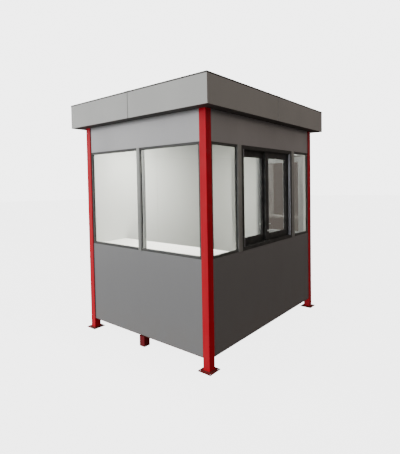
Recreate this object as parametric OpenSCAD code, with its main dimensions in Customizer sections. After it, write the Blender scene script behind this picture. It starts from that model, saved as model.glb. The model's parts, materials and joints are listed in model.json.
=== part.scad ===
// Security guard booth: a steel post frame on base plates, clad in grey sheet and lined in
// white, glazed on its front and right sides, with a boxed fascia round a flat roof.
// Frame: origin on the ground at the centre of the plan, +Z up, front wall on -Y, right wall
// on +X, and a glazed door in the back wall beside the back right post.

/* [Overall] */
// Width over the corner posts
booth_w = 1800; // [1500:10:3000]
// Depth over the corner posts
booth_d = 2200; // [1800:10:3600]
// Clear height under the base rails
foot_h = 110; // [40:5:300]
// Height from the underside of the base rails to the window sill
lower_h = 890; // [500:10:1200]
// Height of the window opening, sill to head
window_h = 1050; // [800:10:1400]
// Height of the wall band between the window head and the eaves
header_h = 285; // [150:5:500]
// Height of the fascia
fascia_h = 265; // [200:5:500]
// How far the fascia stands out beyond the posts
overhang = 115; // [60:5:300]

/* [Frame] */
// Side of the square corner posts
post = 75; // [60:5:100]
// Wall thickness of the posts and roof rails
post_wall = 3; // [2:0.5:6]
// Height of the base, sill and head rails
rail_h = 50; // [30:5:75]
// Wall thickness of the rails, studs and joists
rail_wall = 2.5; // [1.5:0.5:4]
// Number of joists under the floor and under the roof
joists = 3; // [1:1:6]
// Clearance where one cut bar meets the next
butt = 0.3; // [0.1:0.1:0.8]

/* [Base plates] */
// Side of each square base plate
plate_w = 145; // [130:5:200]
// Thickness of each base plate
plate_t = 6; // [4:1:12]
// Distance between anchor holes
anchor_pitch = 113; // [105:1:150]
// Diameter of an anchor hole
anchor_d = 14; // [8:1:18]

/* [Walls] */
// Thickness of the outer cladding sheet
clad_t = 4; // [3:1:10]
// How far the cladding lies behind the post faces
recess = 8; // [4:1:20]
// Height of base rail that shows under the cladding
drip = 8; // [0:1:30]
// Thickness of the inner lining board
lining_t = 6; // [4:1:20]
// Open joint between neighbouring sheets
sheet_gap = 6; // [3:1:12]
// Distance of the left wall's upright joint in front of the middle
left_joint = 70; // [0:10:200]
// Thickness of the floor deck
deck_t = 12; // [9:1:25]
// Width of the floor deck that bears on the base rails
bearing = 30; // [15:5:45]
// Thickness of the ceiling and of the soffit
ceiling_t = 6; // [4:1:12]

/* [Windows] */
// Width of the front mullion
mullion_w = 50; // [40:5:80]
// Width of the two mullions beside the sliding window
side_mullion_w = 70; // [50:5:100]
// How far a mullion stands proud of the cladding
mullion_proud = 4; // [2:1:7]
// Visible width of the fixed window frame
frame_face = 22; // [20:1:40]
// Depth of the fixed window frame
frame_depth = 30; // [24:1:50]
// Thickness of the fixed glass and the door glass
glass_t = 6; // [4:1:8]
// How far a pane reaches into its groove
bite = 8; // [5:1:12]
// Clearance round a pane in its groove
pane_gap = 0.5; // [0.2:0.1:0.8]

/* [Sliding window] */
// Width of the sliding window
slider_w = 1090; // [800:10:1300]
// Visible width of its outer frame
slider_face = 35; // [25:1:50]
// Depth of its outer frame
slider_depth = 100; // [90:1:120]
// Thickness of a sash
sash_t = 28; // [22:1:34]
// Clearance between the two sashes
sash_gap = 4; // [2:1:8]
// Width of the sash stiles
stile_w = 65; // [40:1:80]
// Height of the sash rails
sash_rail_h = 75; // [50:1:90]
// Overlap of the sashes at the middle
sash_lap = 40; // [20:1:60]
// Depth of the track grooves
track_h = 8; // [5:1:15]
// Thickness of the sash glass
sash_glass_t = 5; // [4:1:8]

/* [Door] */
// Width of the door opening
door_w = 730; // [700:10:900]
// Visible width of the door frame
door_face = 30; // [25:1:50]
// Thickness of the leaf
leaf_t = 40; // [35:1:50]
// Clearance between leaf and frame on the hinge side
hinge_gap = 5; // [5:1:8]
// Clearance between leaf and frame on the latch side
latch_gap = 8; // [8:1:12]
// Clearance over and under the leaf
leaf_gap = 6; // [5:1:12]
// Width of the leaf stiles
leaf_stile = 50; // [45:1:100]
// Height of the leaf's top rail
leaf_top = 60; // [50:1:120]
// Height of the leaf's middle rail
leaf_mid = 80; // [60:1:150]
// Height of the leaf's bottom rail
leaf_bottom = 100; // [60:1:200]
// Height of the middle rail's top below the sill line
mid_drop = 10; // [0:5:200]
// Thickness of the leaf's lower panel
leaf_panel_t = 12; // [8:1:20]
// Width of the door stop
stop_w = 12; // [8:1:20]
// Depth of the door stop
stop_d = 15; // [10:1:25]
// Height of the threshold above the base rail
threshold_h = 18; // [15:1:30]
// Height of a hinge
hinge_h = 100; // [80:5:160]
// Radius of a hinge knuckle
knuckle_r = 8; // [7:0.5:12]
// Radius of a hinge pin
pin_r = 5; // [3:0.5:6]
// Radial clearance of the pin in its knuckle
pin_gap = 0.1; // [0.05:0.01:0.2]
// Height of the handle above the floor
handle_h = 900; // [800:10:1100]

/* [Counter] */
// Depth of the counter from the front lining
counter_d = 390; // [250:10:600]
// Thickness of the counter
counter_t = 25; // [18:1:40]
// Number of brackets under the counter
brackets = 3; // [2:1:5]
// Height of a bracket
bracket_h = 250; // [150:10:400]

/* [Roof] */
// Side of the square bars behind the fascia
fascia_bar = 25; // [20:1:40]
// Thickness of the fascia sheet
fascia_t = 4; // [3:1:6]
// Thickness of the parapet cap
cap_t = 3; // [2:1:6]
// Height of the cap's turned-down outer edge
lip_h = 10; // [5:1:30]
// Thickness of that edge
lip_t = 1.5; // [1:0.5:3]
// Thickness of the parapet's inner sheet
liner_t = 2; // [1:0.5:4]
// Number of ribs across the roof sheet
ribs = 9; // [5:1:15]
// Height of a roof sheet rib
rib_h = 22; // [15:1:40]
// Thickness of the roof sheet
roof_t = 2; // [1:0.5:4]
// Length of the ceiling light
light_l = 600; // [300:50:900]
// Width of the ceiling light
light_w = 300; // [150:50:450]
// Thickness of the ceiling light
light_t = 12; // [8:1:40]

/* [Hidden] */

$fn = 48;
past = 1;
frame_proud = 2;

half_w = booth_w / 2;
half_d = booth_d / 2;
span_x = half_w - post;
span_y = half_d - post;
clad_in = recess + clad_t;
lining_in = post + lining_t;

base_z = foot_h;
rail_top = base_z + rail_h;
floor_z = rail_top + deck_t;
sill_z = foot_h + lower_h;
head_z = sill_z + window_h;
eaves_z = head_z + header_h;
roof_rail_z = eaves_z + ceiling_t;
roof_z = roof_rail_z + post;
top_z = eaves_z + fascia_h;
cap_z = top_z - cap_t;

steel_red = [0.72, 0.10, 0.12];
cladding_grey = [0.62, 0.63, 0.62];
lining_white = [0.93, 0.93, 0.90];
frame_dark = [0.28, 0.29, 0.28];
slider_black = [0.13, 0.14, 0.14];
glass_tint = [0.62, 0.70, 0.70, 0.35];
door_grey = [0.55, 0.56, 0.56];

// ---- Shared shapes -----------------------------------------------------------------------
// Wall frames: u runs left to right as seen from outside, d runs inwards from the post
// faces, and z runs up. Each on_ module stands its children in one of the four walls.

module on_front() translate([0, -half_d, 0]) children();
module on_right() translate([half_w, 0, 0]) rotate([0, 0, 90]) children();
module on_back() translate([0, half_d, 0]) rotate([0, 0, 180]) children();
module on_left() translate([-half_w, 0, 0]) rotate([0, 0, -90]) children();

// A box between two corners.
module block(u, d, z) {
  translate([u[0], d[0], z[0]]) cube([u[1] - u[0], d[1] - d[0], z[1] - z[0]]);
}

// A hollow bar that runs along u, along d or upright, open at both ends.
module bar_u(u, d, z, wall) {
  difference() {
    block(u, d, z);
    block([u[0] - past, u[1] + past], [d[0] + wall, d[1] - wall], [z[0] + wall, z[1] - wall]);
  }
}

module bar_d(u, d, z, wall) {
  difference() {
    block(u, d, z);
    block([u[0] + wall, u[1] - wall], [d[0] - past, d[1] + past], [z[0] + wall, z[1] - wall]);
  }
}

module bar_z(u, d, z, wall) {
  difference() {
    block(u, d, z);
    block([u[0] + wall, u[1] - wall], [d[0] + wall, d[1] - wall], [z[0] - past, z[1] + past]);
  }
}

// The four corners of the plan, as signs.
module at_corners() for (sx = [-1, 1], sy = [-1, 1]) {
  translate([sx * (half_w - post / 2), sy * (half_d - post / 2), 0]) children();
}

function middle(a, width) = [a - width / 2, a + width / 2];
function grow(a, by) = [a[0] - by, a[1] + by];

// ---- Base and floor ----------------------------------------------------------------------

module corner_posts() color(steel_red) at_corners() {
  bar_z(middle(0, post), middle(0, post), [plate_t, roof_z], post_wall);
}

module base_plates() color(steel_red * 0.5) at_corners() difference() {
  block(middle(0, plate_w), middle(0, plate_w), [0, plate_t]);
  for (sx = [-1, 1], sy = [-1, 1]) {
    translate([sx * anchor_pitch / 2, sy * anchor_pitch / 2, -past])
      cylinder(d = anchor_d, h = plate_t + 2 * past);
  }
}

// One short foot under the middle of the front and of the back base rail.
module mid_feet() color(steel_red * 0.6) {
  on_front() bar_z(middle(0, post), [0, post], [0, base_z], post_wall);
  on_back() bar_z(middle(0, post), [0, post], [0, base_z], post_wall);
}

module rail_ring(z) {
  on_front() bar_u([-span_x, span_x], [clad_in, post], z, rail_wall);
  on_back() bar_u([-span_x, span_x], [clad_in, post], z, rail_wall);
  on_right() bar_u([-span_y, span_y], [clad_in, post], z, rail_wall);
  on_left() bar_u([-span_y, span_y], [clad_in, post], z, rail_wall);
}

module joist_row(z) for (i = [1:joists]) {
  y = -span_y + i * 2 * span_y / (joists + 1);
  bar_u([-span_x + butt, span_x - butt], middle(y, rail_h), z, rail_wall);
}

module base_frame() color(steel_red * 0.6) {
  rail_ring([base_z, rail_top]);
  joist_row([base_z, rail_top]);
}

door_u = -span_x + door_w;

module floor_deck() color([0.45, 0.43, 0.40]) {
  edge_x = span_x + bearing;
  edge_y = span_y + bearing;
  back_y = half_d - lining_in;
  block([-edge_x, edge_x], [-span_y, back_y], [rail_top, floor_z]);
  block([-span_x, span_x], [-edge_y, -span_y + past], [rail_top, floor_z]);
  block([-span_x, -door_u], [back_y - past, edge_y], [rail_top, floor_z]);
}

// ---- Wall frame, cladding and lining -----------------------------------------------------

slider_u = slider_w / 2;
side_mullion_u = slider_u + side_mullion_w / 2;

module stud(u, z) bar_z(middle(u, rail_h), [clad_in, post], z, rail_wall);

module wall_frame() color(steel_red * 0.6) {
  sill_rail = [sill_z - rail_h, sill_z];
  low = [floor_z, sill_z - rail_h - butt];
  high = [sill_z + butt, head_z - butt];
  door_stud_u = door_u + rail_h / 2;
  rail_ring([head_z, head_z + rail_h]);
  on_front() {
    bar_u([-span_x, span_x], [clad_in, post], sill_rail, rail_wall);
    stud(0, low);
  }
  on_right() {
    bar_u([-span_y, span_y], [clad_in, post], sill_rail, rail_wall);
    for (s = [-1, 1]) stud(s * side_mullion_u, low);
  }
  on_left() {
    bar_u([-span_y, span_y], [clad_in, post], sill_rail, rail_wall);
    stud(left_joint, low);
    stud(left_joint, high);
  }
  on_back() {
    bar_u([door_u + rail_h + butt, span_x], [clad_in, post], sill_rail, rail_wall);
    stud(door_stud_u, [floor_z, head_z - butt]);
  }
}

module sheet(u, z) block(u, [recess, clad_in], z);
module board(u, z) block(u, [post, lining_in], z);

clad_low_z = base_z + drip;
clad_split = [head_z - sheet_gap / 2, head_z + sheet_gap / 2];

module front_cladding() color(cladding_grey) on_front() {
  sheet([-span_x, span_x], [clad_low_z, sill_z]);
  sheet([-span_x, span_x], [head_z, eaves_z]);
}

module right_cladding() color(cladding_grey * 0.9) on_right() {
  sheet([-span_y, span_y], [clad_low_z, sill_z]);
  sheet([-span_y, span_y], [head_z, eaves_z]);
}

module left_cladding() color(cladding_grey * 0.9) on_left() {
  sheet([-span_y, left_joint - sheet_gap / 2], [clad_low_z, clad_split[0]]);
  sheet([left_joint + sheet_gap / 2, span_y], [clad_low_z, clad_split[0]]);
  sheet([-span_y, span_y], [clad_split[1], eaves_z]);
}

module back_cladding() color(cladding_grey) on_back() {
  sheet([door_u, span_x], [clad_low_z, clad_split[0]]);
}

module back_header() color(cladding_grey) on_back() {
  sheet([-span_x, span_x], [clad_split[1], eaves_z]);
}

reveal_d = [recess + frame_depth, lining_in];
reveal_side_z = [sill_z + lining_t + butt, head_z - lining_t - butt];

// The boards that line the sill and the head of one fixed light, behind its frame.
module reveal(u) {
  block(u, reveal_d, [sill_z, sill_z + lining_t]);
  block(u, reveal_d, [head_z - lining_t, head_z]);
}

module front_lining() color(lining_white) on_front() {
  board([-span_x, span_x], [floor_z, sill_z - butt]);
  board([-span_x, span_x], [head_z + butt, eaves_z]);
  for (s = [0, 1]) mirror([s, 0, 0]) {
    reveal([-span_x, -mullion_w / 2]);
    block([-span_x, -span_x + lining_t], reveal_d, reveal_side_z);
  }
}

module right_lining() color(lining_white) on_right() {
  end = span_y - lining_t;
  pier = slider_u + side_mullion_w;
  board([-end, end], [floor_z, sill_z - butt]);
  board([-end, end], [head_z + butt, eaves_z]);
  for (s = [0, 1]) mirror([s, 0, 0]) {
    reveal([-end + butt, -pier]);
    block([-span_y, -end], [reveal_d[0], post], [sill_z, head_z]);
    block([-pier - lining_t, -pier], reveal_d, reveal_side_z);
  }
}

module left_lining() color(lining_white) on_left() {
  end = span_y - lining_t;
  board([-end, left_joint - pane_gap], [floor_z, head_z - pane_gap]);
  board([left_joint + pane_gap, end], [floor_z, head_z - pane_gap]);
  board([-end, end], [head_z + pane_gap, eaves_z]);
}

module back_lining() color(lining_white) on_back() {
  board([door_u, span_x], [floor_z, head_z - pane_gap]);
  board([-span_x, span_x], [head_z + pane_gap, eaves_z]);
}

// ---- Windows -----------------------------------------------------------------------------

frame_d = [recess, recess + frame_depth];
glass_d = middle(recess + frame_depth / 2, glass_t);

// One fixed light between u[0] and u[1]; jambs says which ends have a frame bar of their own.
module light_pane(u, jambs) {
  block([u[0] + jambs[0] * frame_face - bite, u[1] - jambs[1] * frame_face + bite], glass_d,
        [sill_z + frame_face - bite, head_z - frame_face + bite]);
}

module light_groove(u, jambs) {
  block([u[0] + jambs[0] * frame_face - bite - pane_gap,
         u[1] - jambs[1] * frame_face + bite + pane_gap], grow(glass_d, pane_gap),
        [sill_z + frame_face - bite - pane_gap, head_z - frame_face + bite + pane_gap]);
}

module light_frame(u, jambs) difference() {
  union() {
    block(u, frame_d, [sill_z, sill_z + frame_face]);
    block(u, frame_d, [head_z - frame_face, head_z]);
    upright = [sill_z + frame_face + butt, head_z - frame_face - butt];
    if (jambs[0] == 1) block([u[0], u[0] + frame_face], frame_d, upright);
    if (jambs[1] == 1) block([u[1] - frame_face, u[1]], frame_d, upright);
  }
  light_groove(u, jambs);
}

front_lights = [[-span_x, -mullion_w / 2], [mullion_w / 2, span_x]];
side_lights = [[-span_y, -slider_u - side_mullion_w], [slider_u + side_mullion_w, span_y]];
jamb_ends = [[1, 0], [0, 1]];

module mullion(u, width) {
  block(middle(u, width), [recess - mullion_proud, post], [sill_z, head_z]);
}

module mullions() color([0.72, 0.73, 0.71]) {
  on_front() difference() {
    mullion(0, mullion_w);
    for (i = [0, 1]) light_groove(front_lights[i], jamb_ends[i]);
  }
  on_right() difference() {
    for (s = [-1, 1]) mullion(s * side_mullion_u, side_mullion_w);
    for (i = [0, 1]) light_groove(side_lights[i], jamb_ends[i]);
  }
}

module window_frames() color(frame_dark) {
  on_front() for (i = [0, 1]) light_frame(front_lights[i], jamb_ends[i]);
  on_right() for (i = [0, 1]) light_frame(side_lights[i], jamb_ends[i]);
}

module window_glass() color(glass_tint) {
  on_front() for (i = [0, 1]) light_pane(front_lights[i], jamb_ends[i]);
  on_right() for (i = [0, 1]) light_pane(side_lights[i], jamb_ends[i]);
}

// ---- Sliding window ----------------------------------------------------------------------

slider_front = recess - mullion_proud - frame_proud;
slider_d = [slider_front, slider_front + slider_depth];
track_edge = 2;
inner_sash_d = [slider_d[1] - track_edge - sash_t, slider_d[1] - track_edge];
outer_sash_d = [inner_sash_d[0] - sash_gap - sash_t, inner_sash_d[0] - sash_gap];
sash_z = [sill_z + slider_face - track_h + pane_gap, head_z - slider_face + track_h - pane_gap];
sash_end = slider_u - slider_face - pane_gap;
inner_sash_u = [-sash_end, sash_lap / 2];
outer_sash_u = [-sash_lap / 2, sash_end];

module slider_frame() color(slider_black) on_right() difference() {
  union() {
    block([-slider_u, slider_u], slider_d, [sill_z, sill_z + slider_face]);
    block([-slider_u, slider_u], slider_d, [head_z - slider_face, head_z]);
    upright = [sill_z + slider_face + butt, head_z - slider_face - butt];
    block([-slider_u, -slider_u + slider_face], slider_d, upright);
    block([slider_u - slider_face, slider_u], slider_d, upright);
  }
  for (d = [inner_sash_d, outer_sash_d]) {
    block([-sash_end - pane_gap, sash_end + pane_gap], grow(d, pane_gap), grow(sash_z, pane_gap));
  }
}

module sash_pane(u, d) {
  block(grow(u, bite - stile_w), middle((d[0] + d[1]) / 2, sash_glass_t),
        grow(sash_z, bite - sash_rail_h));
}

module sash_groove(u, d) {
  block(grow(u, bite + pane_gap - stile_w),
        middle((d[0] + d[1]) / 2, sash_glass_t + 2 * pane_gap),
        grow(sash_z, bite + pane_gap - sash_rail_h));
}

module sash(u, d) difference() {
  rail_u = grow(u, -stile_w - butt);
  union() {
    block([u[0], u[0] + stile_w], d, sash_z);
    block([u[1] - stile_w, u[1]], d, sash_z);
    block(rail_u, d, [sash_z[0], sash_z[0] + sash_rail_h]);
    block(rail_u, d, [sash_z[1] - sash_rail_h, sash_z[1]]);
  }
  sash_groove(u, d);
}

module slider_sashes() color(slider_black) on_right() {
  sash(inner_sash_u, inner_sash_d);
  sash(outer_sash_u, outer_sash_d);
}

module slider_glass() color(glass_tint) on_right() {
  sash_pane(inner_sash_u, inner_sash_d);
  sash_pane(outer_sash_u, outer_sash_d);
}

// A small round pull on the outer sash's meeting stile.
pull_d = 18;
pull_h = 8;

module sash_pull() color("white") on_right() {
  translate([outer_sash_u[0] + stile_w / 2, outer_sash_d[0], sash_z[0] + sash_rail_h * 1.5])
    rotate([90, 0, 0]) cylinder(d = pull_d, h = pull_h);
}

// ---- Door --------------------------------------------------------------------------------

door_front = recess - frame_proud;
door_frame_d = [door_front, lining_in];
leaf_d = [door_front, door_front + leaf_t];
stop_d_range = [leaf_d[1] + leaf_gap, leaf_d[1] + leaf_gap + stop_d];
frame_u = [-span_x, door_u];
clear_u = [frame_u[0] + door_face, frame_u[1] - door_face];
threshold_z = rail_top + threshold_h;
leaf_u = [clear_u[0] + hinge_gap, clear_u[1] - latch_gap];
leaf_z = [threshold_z + leaf_gap, head_z - door_face - leaf_gap];
hinge_u = clear_u[0] + hinge_gap / 2;
knuckle_off = 1;
hinge_d = door_front - knuckle_r - knuckle_off;
mid_z = [sill_z - mid_drop - leaf_mid, sill_z - mid_drop];
hinge_zs = [leaf_z[0] + 1.5 * hinge_h, (leaf_z[0] + leaf_z[1]) / 2, leaf_z[1] - 1.5 * hinge_h];

module door_frame() color(door_grey) on_back() {
  block([frame_u[0], clear_u[0]], door_frame_d, [rail_top, head_z]);
  block([clear_u[0], clear_u[0] + stop_w], stop_d_range, [threshold_z + butt, head_z - door_face]);
  block([clear_u[1], frame_u[1]], door_frame_d, [rail_top, head_z]);
  block([clear_u[1] - stop_w, clear_u[1]], stop_d_range, [threshold_z + butt, head_z - door_face]);
  head_u = grow(clear_u, -butt);
  block(head_u, door_frame_d, [head_z - door_face + butt, head_z]);
}

module door_threshold() color([0.66, 0.66, 0.66]) on_back() {
  block(clear_u, door_frame_d, [rail_top, threshold_z]);
}

leaf_glass_z = [mid_z[1] - bite, leaf_z[1] - leaf_top + bite];
leaf_panel_z = [leaf_z[0] + leaf_bottom - bite, mid_z[0] + bite];
leaf_fill_u = grow(leaf_u, bite - leaf_stile);

module leaf_fill(z, thickness, gap) {
  block(grow(leaf_fill_u, gap), middle((leaf_d[0] + leaf_d[1]) / 2, thickness + 2 * gap),
        grow(z, gap));
}

module door_leaf_frame() color(door_grey) on_back() difference() {
  rail_u = grow(leaf_u, -leaf_stile - butt);
  union() {
    block([leaf_u[0], leaf_u[0] + leaf_stile], leaf_d, leaf_z);
    block([leaf_u[1] - leaf_stile, leaf_u[1]], leaf_d, leaf_z);
    block(rail_u, leaf_d, [leaf_z[0], leaf_z[0] + leaf_bottom]);
    block(rail_u, leaf_d, mid_z);
    block(rail_u, leaf_d, [leaf_z[1] - leaf_top, leaf_z[1]]);
  }
  leaf_fill(leaf_glass_z, glass_t, pane_gap);
  leaf_fill(leaf_panel_z, leaf_panel_t, pane_gap);
}

module door_glass() color(glass_tint) on_back() leaf_fill(leaf_glass_z, glass_t, 0);
module door_panel() color(cladding_grey) on_back() leaf_fill(leaf_panel_z, leaf_panel_t, 0);

// One lever handle on its plate; the lever points towards the hinges. side is -1 outside.
plate = [30, 170, 6];
neck = 40;
grip = [120, 16, 18];

module lever(face, side) {
  u = leaf_u[1] - leaf_stile / 2;
  z = floor_z + handle_h;
  far = face + side * (plate[2] + neck);
  block(middle(u, plate[0]), [min(face, face + side * plate[2]), max(face, face + side * plate[2])],
        middle(z, plate[1]));
  translate([u, face + side * (plate[2] - past), z]) rotate([-side * 90, 0, 0])
    cylinder(d = grip[1], h = neck + past - grip[1] / 2);
  block([u - grip[0], u + grip[1] / 2], middle(far - side * grip[1] / 2, grip[1]), middle(z, grip[2]));
}

module door_handles() color([0.8, 0.8, 0.8]) on_back() {
  lever(leaf_d[0], -1);
  lever(leaf_d[1], 1);
}

flag = [30, 3];
pin_short = 2;

// The lower half of each hinge stays on the frame and carries the pin.
module door_hinge_pins() color([0.6, 0.6, 0.6]) on_back() for (z = hinge_zs) {
  translate([hinge_u, hinge_d, z - hinge_h / 2]) {
    cylinder(r = knuckle_r, h = hinge_h / 2);
    cylinder(r = pin_r, h = hinge_h - pin_short);
  }
  block([hinge_u - flag[0], hinge_u], [door_front - flag[1], door_front], [z - hinge_h / 2, z]);
}

// The upper half of each hinge turns on the pin with the leaf.
module door_hinge_knuckles() color([0.6, 0.6, 0.6]) on_back() for (z = hinge_zs) {
  low = z + pane_gap;
  difference() {
    union() {
      translate([hinge_u, hinge_d, low]) cylinder(r = knuckle_r, h = hinge_h / 2);
      block([hinge_u, hinge_u + flag[0]], [door_front - flag[1], door_front],
            [low, low + hinge_h / 2]);
    }
    translate([hinge_u, hinge_d, low - past]) cylinder(r = pin_r + pin_gap, h = hinge_h);
  }
}

// ---- Counter -----------------------------------------------------------------------------

counter_x = half_w - lining_in;
counter_edge = lining_in + counter_d;

module counter_top() color([0.95, 0.95, 0.92]) on_front() {
  block([-counter_x, counter_x], [lining_in, counter_edge], [sill_z - counter_t, sill_z]);
}

web = 5;
flange = 40;
bracket_reach = 0.8;

module counter_brackets() color([0.75, 0.75, 0.75]) on_front() {
  reach = counter_d * bracket_reach;
  under = sill_z - counter_t;
  for (i = [1:brackets]) {
    u = -counter_x + (i - 0.5) * 2 * counter_x / brackets;
    block(middle(u, flange), [lining_in, lining_in + web], [under - bracket_h, under]);
    block(middle(u, flange), [lining_in, lining_in + reach], [under - web, under]);
    translate([u - web / 2, 0, 0]) rotate([90, 0, 90]) linear_extrude(web) polygon([
      [lining_in, under], [lining_in + reach, under], [lining_in, under - bracket_h]]);
  }
}

// ---- Ceiling and roof --------------------------------------------------------------------

module ceiling_panel() color(lining_white) {
  block([-span_x, span_x], [-span_y, span_y], [eaves_z, roof_rail_z]);
}

module ceiling_light() color("white") {
  block(middle(0, light_w), middle(0, light_l), [eaves_z - light_t, eaves_z]);
}

module roof_frame() color(steel_red * 0.6) {
  z = [roof_rail_z, roof_z];
  on_front() bar_u([-span_x, span_x], [0, post], z, post_wall);
  on_back() bar_u([-span_x, span_x], [0, post], z, post_wall);
  on_right() bar_u([-span_y, span_y], [0, post], z, post_wall);
  on_left() bar_u([-span_y, span_y], [0, post], z, post_wall);
  joist_row(z);
}

fascia_x = half_w + overhang;
fascia_y = half_d + overhang;
bar_out = -overhang + fascia_t;
bar_in = bar_out + fascia_bar;
bar_low = [roof_rail_z, roof_rail_z + fascia_bar];
bar_high = [cap_z - fascia_bar, cap_z];
liner_in = bar_in + liner_t;

crown_share = 0.12;
foot_share = 0.22;

// Ribbed roof sheet: the outline of one rib, repeated between the side rails, with a flat
// margin that bears on them.
module roof_deck() color([0.55, 0.57, 0.58]) {
  half_x = half_w - liner_in - pane_gap;
  half_y = half_d - liner_in - pane_gap;
  pitch = 2 * span_x / ribs;
  crown = pitch * crown_share;
  foot = pitch * foot_share;
  top = [for (i = [0:ribs - 1]) let (x = -span_x + (i + 0.5) * pitch)
    each [[x - foot, 0], [x - crown, rib_h], [x + crown, rib_h], [x + foot, 0]]];
  under = [for (i = [ribs - 1:-1:0]) let (x = -span_x + (i + 0.5) * pitch)
    each [[x + foot - roof_t, -roof_t], [x + crown - roof_t, rib_h - roof_t],
          [x - crown + roof_t, rib_h - roof_t], [x - foot + roof_t, -roof_t]]];
  outline = concat([[-half_x, 0]], top, [[half_x, 0], [half_x, -roof_t]], under,
                   [[-half_x, -roof_t]]);
  translate([0, half_y, roof_z + roof_t]) rotate([90, 0, 0])
    linear_extrude(2 * half_y) polygon(outline);
}

// One corner of the fascia, folded from a single sheet; it meets its neighbours mid-side.
module fascia_corner(sx, sy) {
  seam = sheet_gap / 2;
  color([0.60, 0.61, 0.60]) mirror([sx < 0 ? 1 : 0, 0, 0]) mirror([0, sy < 0 ? 1 : 0, 0]) {
    block([seam, fascia_x], [fascia_y - fascia_t, fascia_y], [eaves_z, cap_z]);
    block([fascia_x - fascia_t, fascia_x], [seam, fascia_y], [eaves_z, cap_z]);
  }
}

module fascia_front_left() fascia_corner(-1, -1);
module fascia_front_right() fascia_corner(1, -1);
module fascia_back_left() fascia_corner(-1, 1);
module fascia_back_right() fascia_corner(1, 1);

// Bars behind one side of the fascia; run is half their length.
bar_wall = 2;

module fascia_side(run, span) {
  d = [bar_out, bar_in];
  for (z = [bar_low, bar_high]) bar_u([-run, run], d, z, bar_wall);
  for (u = [-run + fascia_bar / 2, -fascia_bar / 2 - sheet_gap, run - fascia_bar / 2]) {
    bar_z(middle(u, fascia_bar), d, [bar_low[1] + butt, bar_high[0] - butt], bar_wall);
  }
  for (s = [-1, 1]) {
    bar_d(middle(s * span / 2, fascia_bar), [bar_in + butt, -butt], bar_low, bar_wall);
  }
}

module fascia_frame() color(steel_red * 0.6) {
  run_x = fascia_x - fascia_t;
  run_y = fascia_y - fascia_t - fascia_bar - butt;
  on_front() fascia_side(run_x, half_w);
  on_back() fascia_side(run_x, half_w);
  on_right() fascia_side(run_y, half_d);
  on_left() fascia_side(run_y, half_d);
}

module soffit_strip(run, span) {
  block([-run, run], [bar_out, 0], [eaves_z, roof_rail_z]);
  block([-span, span], [-past, recess], [eaves_z, roof_rail_z]);
}

module soffit() color([0.2, 0.2, 0.2]) {
  on_front() soffit_strip(fascia_x - fascia_t, span_x);
  on_back() soffit_strip(fascia_x - fascia_t, span_x);
  on_right() soffit_strip(half_d - past, span_y);
  on_left() soffit_strip(half_d - past, span_y);
}

module parapet_liner() color([0.7, 0.7, 0.7]) {
  z = [roof_z, cap_z];
  run_x = half_w - bar_in;
  run_y = half_d - liner_in - butt;
  on_front() block([-run_x, run_x], [bar_in, liner_in], z);
  on_back() block([-run_x, run_x], [bar_in, liner_in], z);
  on_right() block([-run_y, run_y], [bar_in, liner_in], z);
  on_left() block([-run_y, run_y], [bar_in, liner_in], z);
}

// One side of the cap: a flat strip, and an edge that turns down over the fascia. Where the
// strip has outer ends, the edge turns round them too.
module cap_strip(run, ends) {
  edge_z = [cap_z - lip_h, top_z];
  block([-run, run], [-overhang, liner_in], [cap_z, top_z]);
  block([-run, run], [-overhang - lip_t, -overhang], edge_z);
  if (ends) for (s = [0, 1]) mirror([s, 0, 0]) {
    block([run, run + lip_t], [-overhang - lip_t, liner_in], edge_z);
  }
}

module parapet_cap() color([0.25, 0.25, 0.25]) {
  run_y = half_d - liner_in - butt;
  on_front() cap_strip(fascia_x, true);
  on_back() cap_strip(fascia_x, true);
  on_right() cap_strip(run_y, false);
  on_left() cap_strip(run_y, false);
}

// ---- Nodes -------------------------------------------------------------------------------

corner_posts();
base_plates();
mid_feet();
base_frame();
floor_deck();
wall_frame();
front_cladding();
right_cladding();
left_cladding();
back_cladding();
back_header();
front_lining();
right_lining();
left_lining();
back_lining();
ceiling_panel();
ceiling_light();
roof_frame();
roof_deck();
fascia_front_left();
fascia_front_right();
fascia_back_left();
fascia_back_right();
fascia_frame();
soffit();
parapet_liner();
parapet_cap();
mullions();
window_frames();
window_glass();
slider_frame();
slider_sashes();
slider_glass();
sash_pull();
door_frame();
door_threshold();
door_leaf_frame();
door_glass();
door_panel();
door_handles();
door_hinge_pins();
door_hinge_knuckles();
counter_top();
counter_brackets();
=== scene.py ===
"""Looks of a security guard booth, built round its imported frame.

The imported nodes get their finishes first. Then each sub-assembly adds its small fittings, and
last come the floor, the lights and the camera. Sizes are in metres, in the frame of the part:
the front wall faces -Y, the sliding window is in the +X wall and the door in the +Y wall.
"""

import json
import logging
import math
from collections.abc import Sequence
from dataclasses import dataclass
from enum import Enum

import bpy
from mathutils import Matrix, Vector

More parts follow.
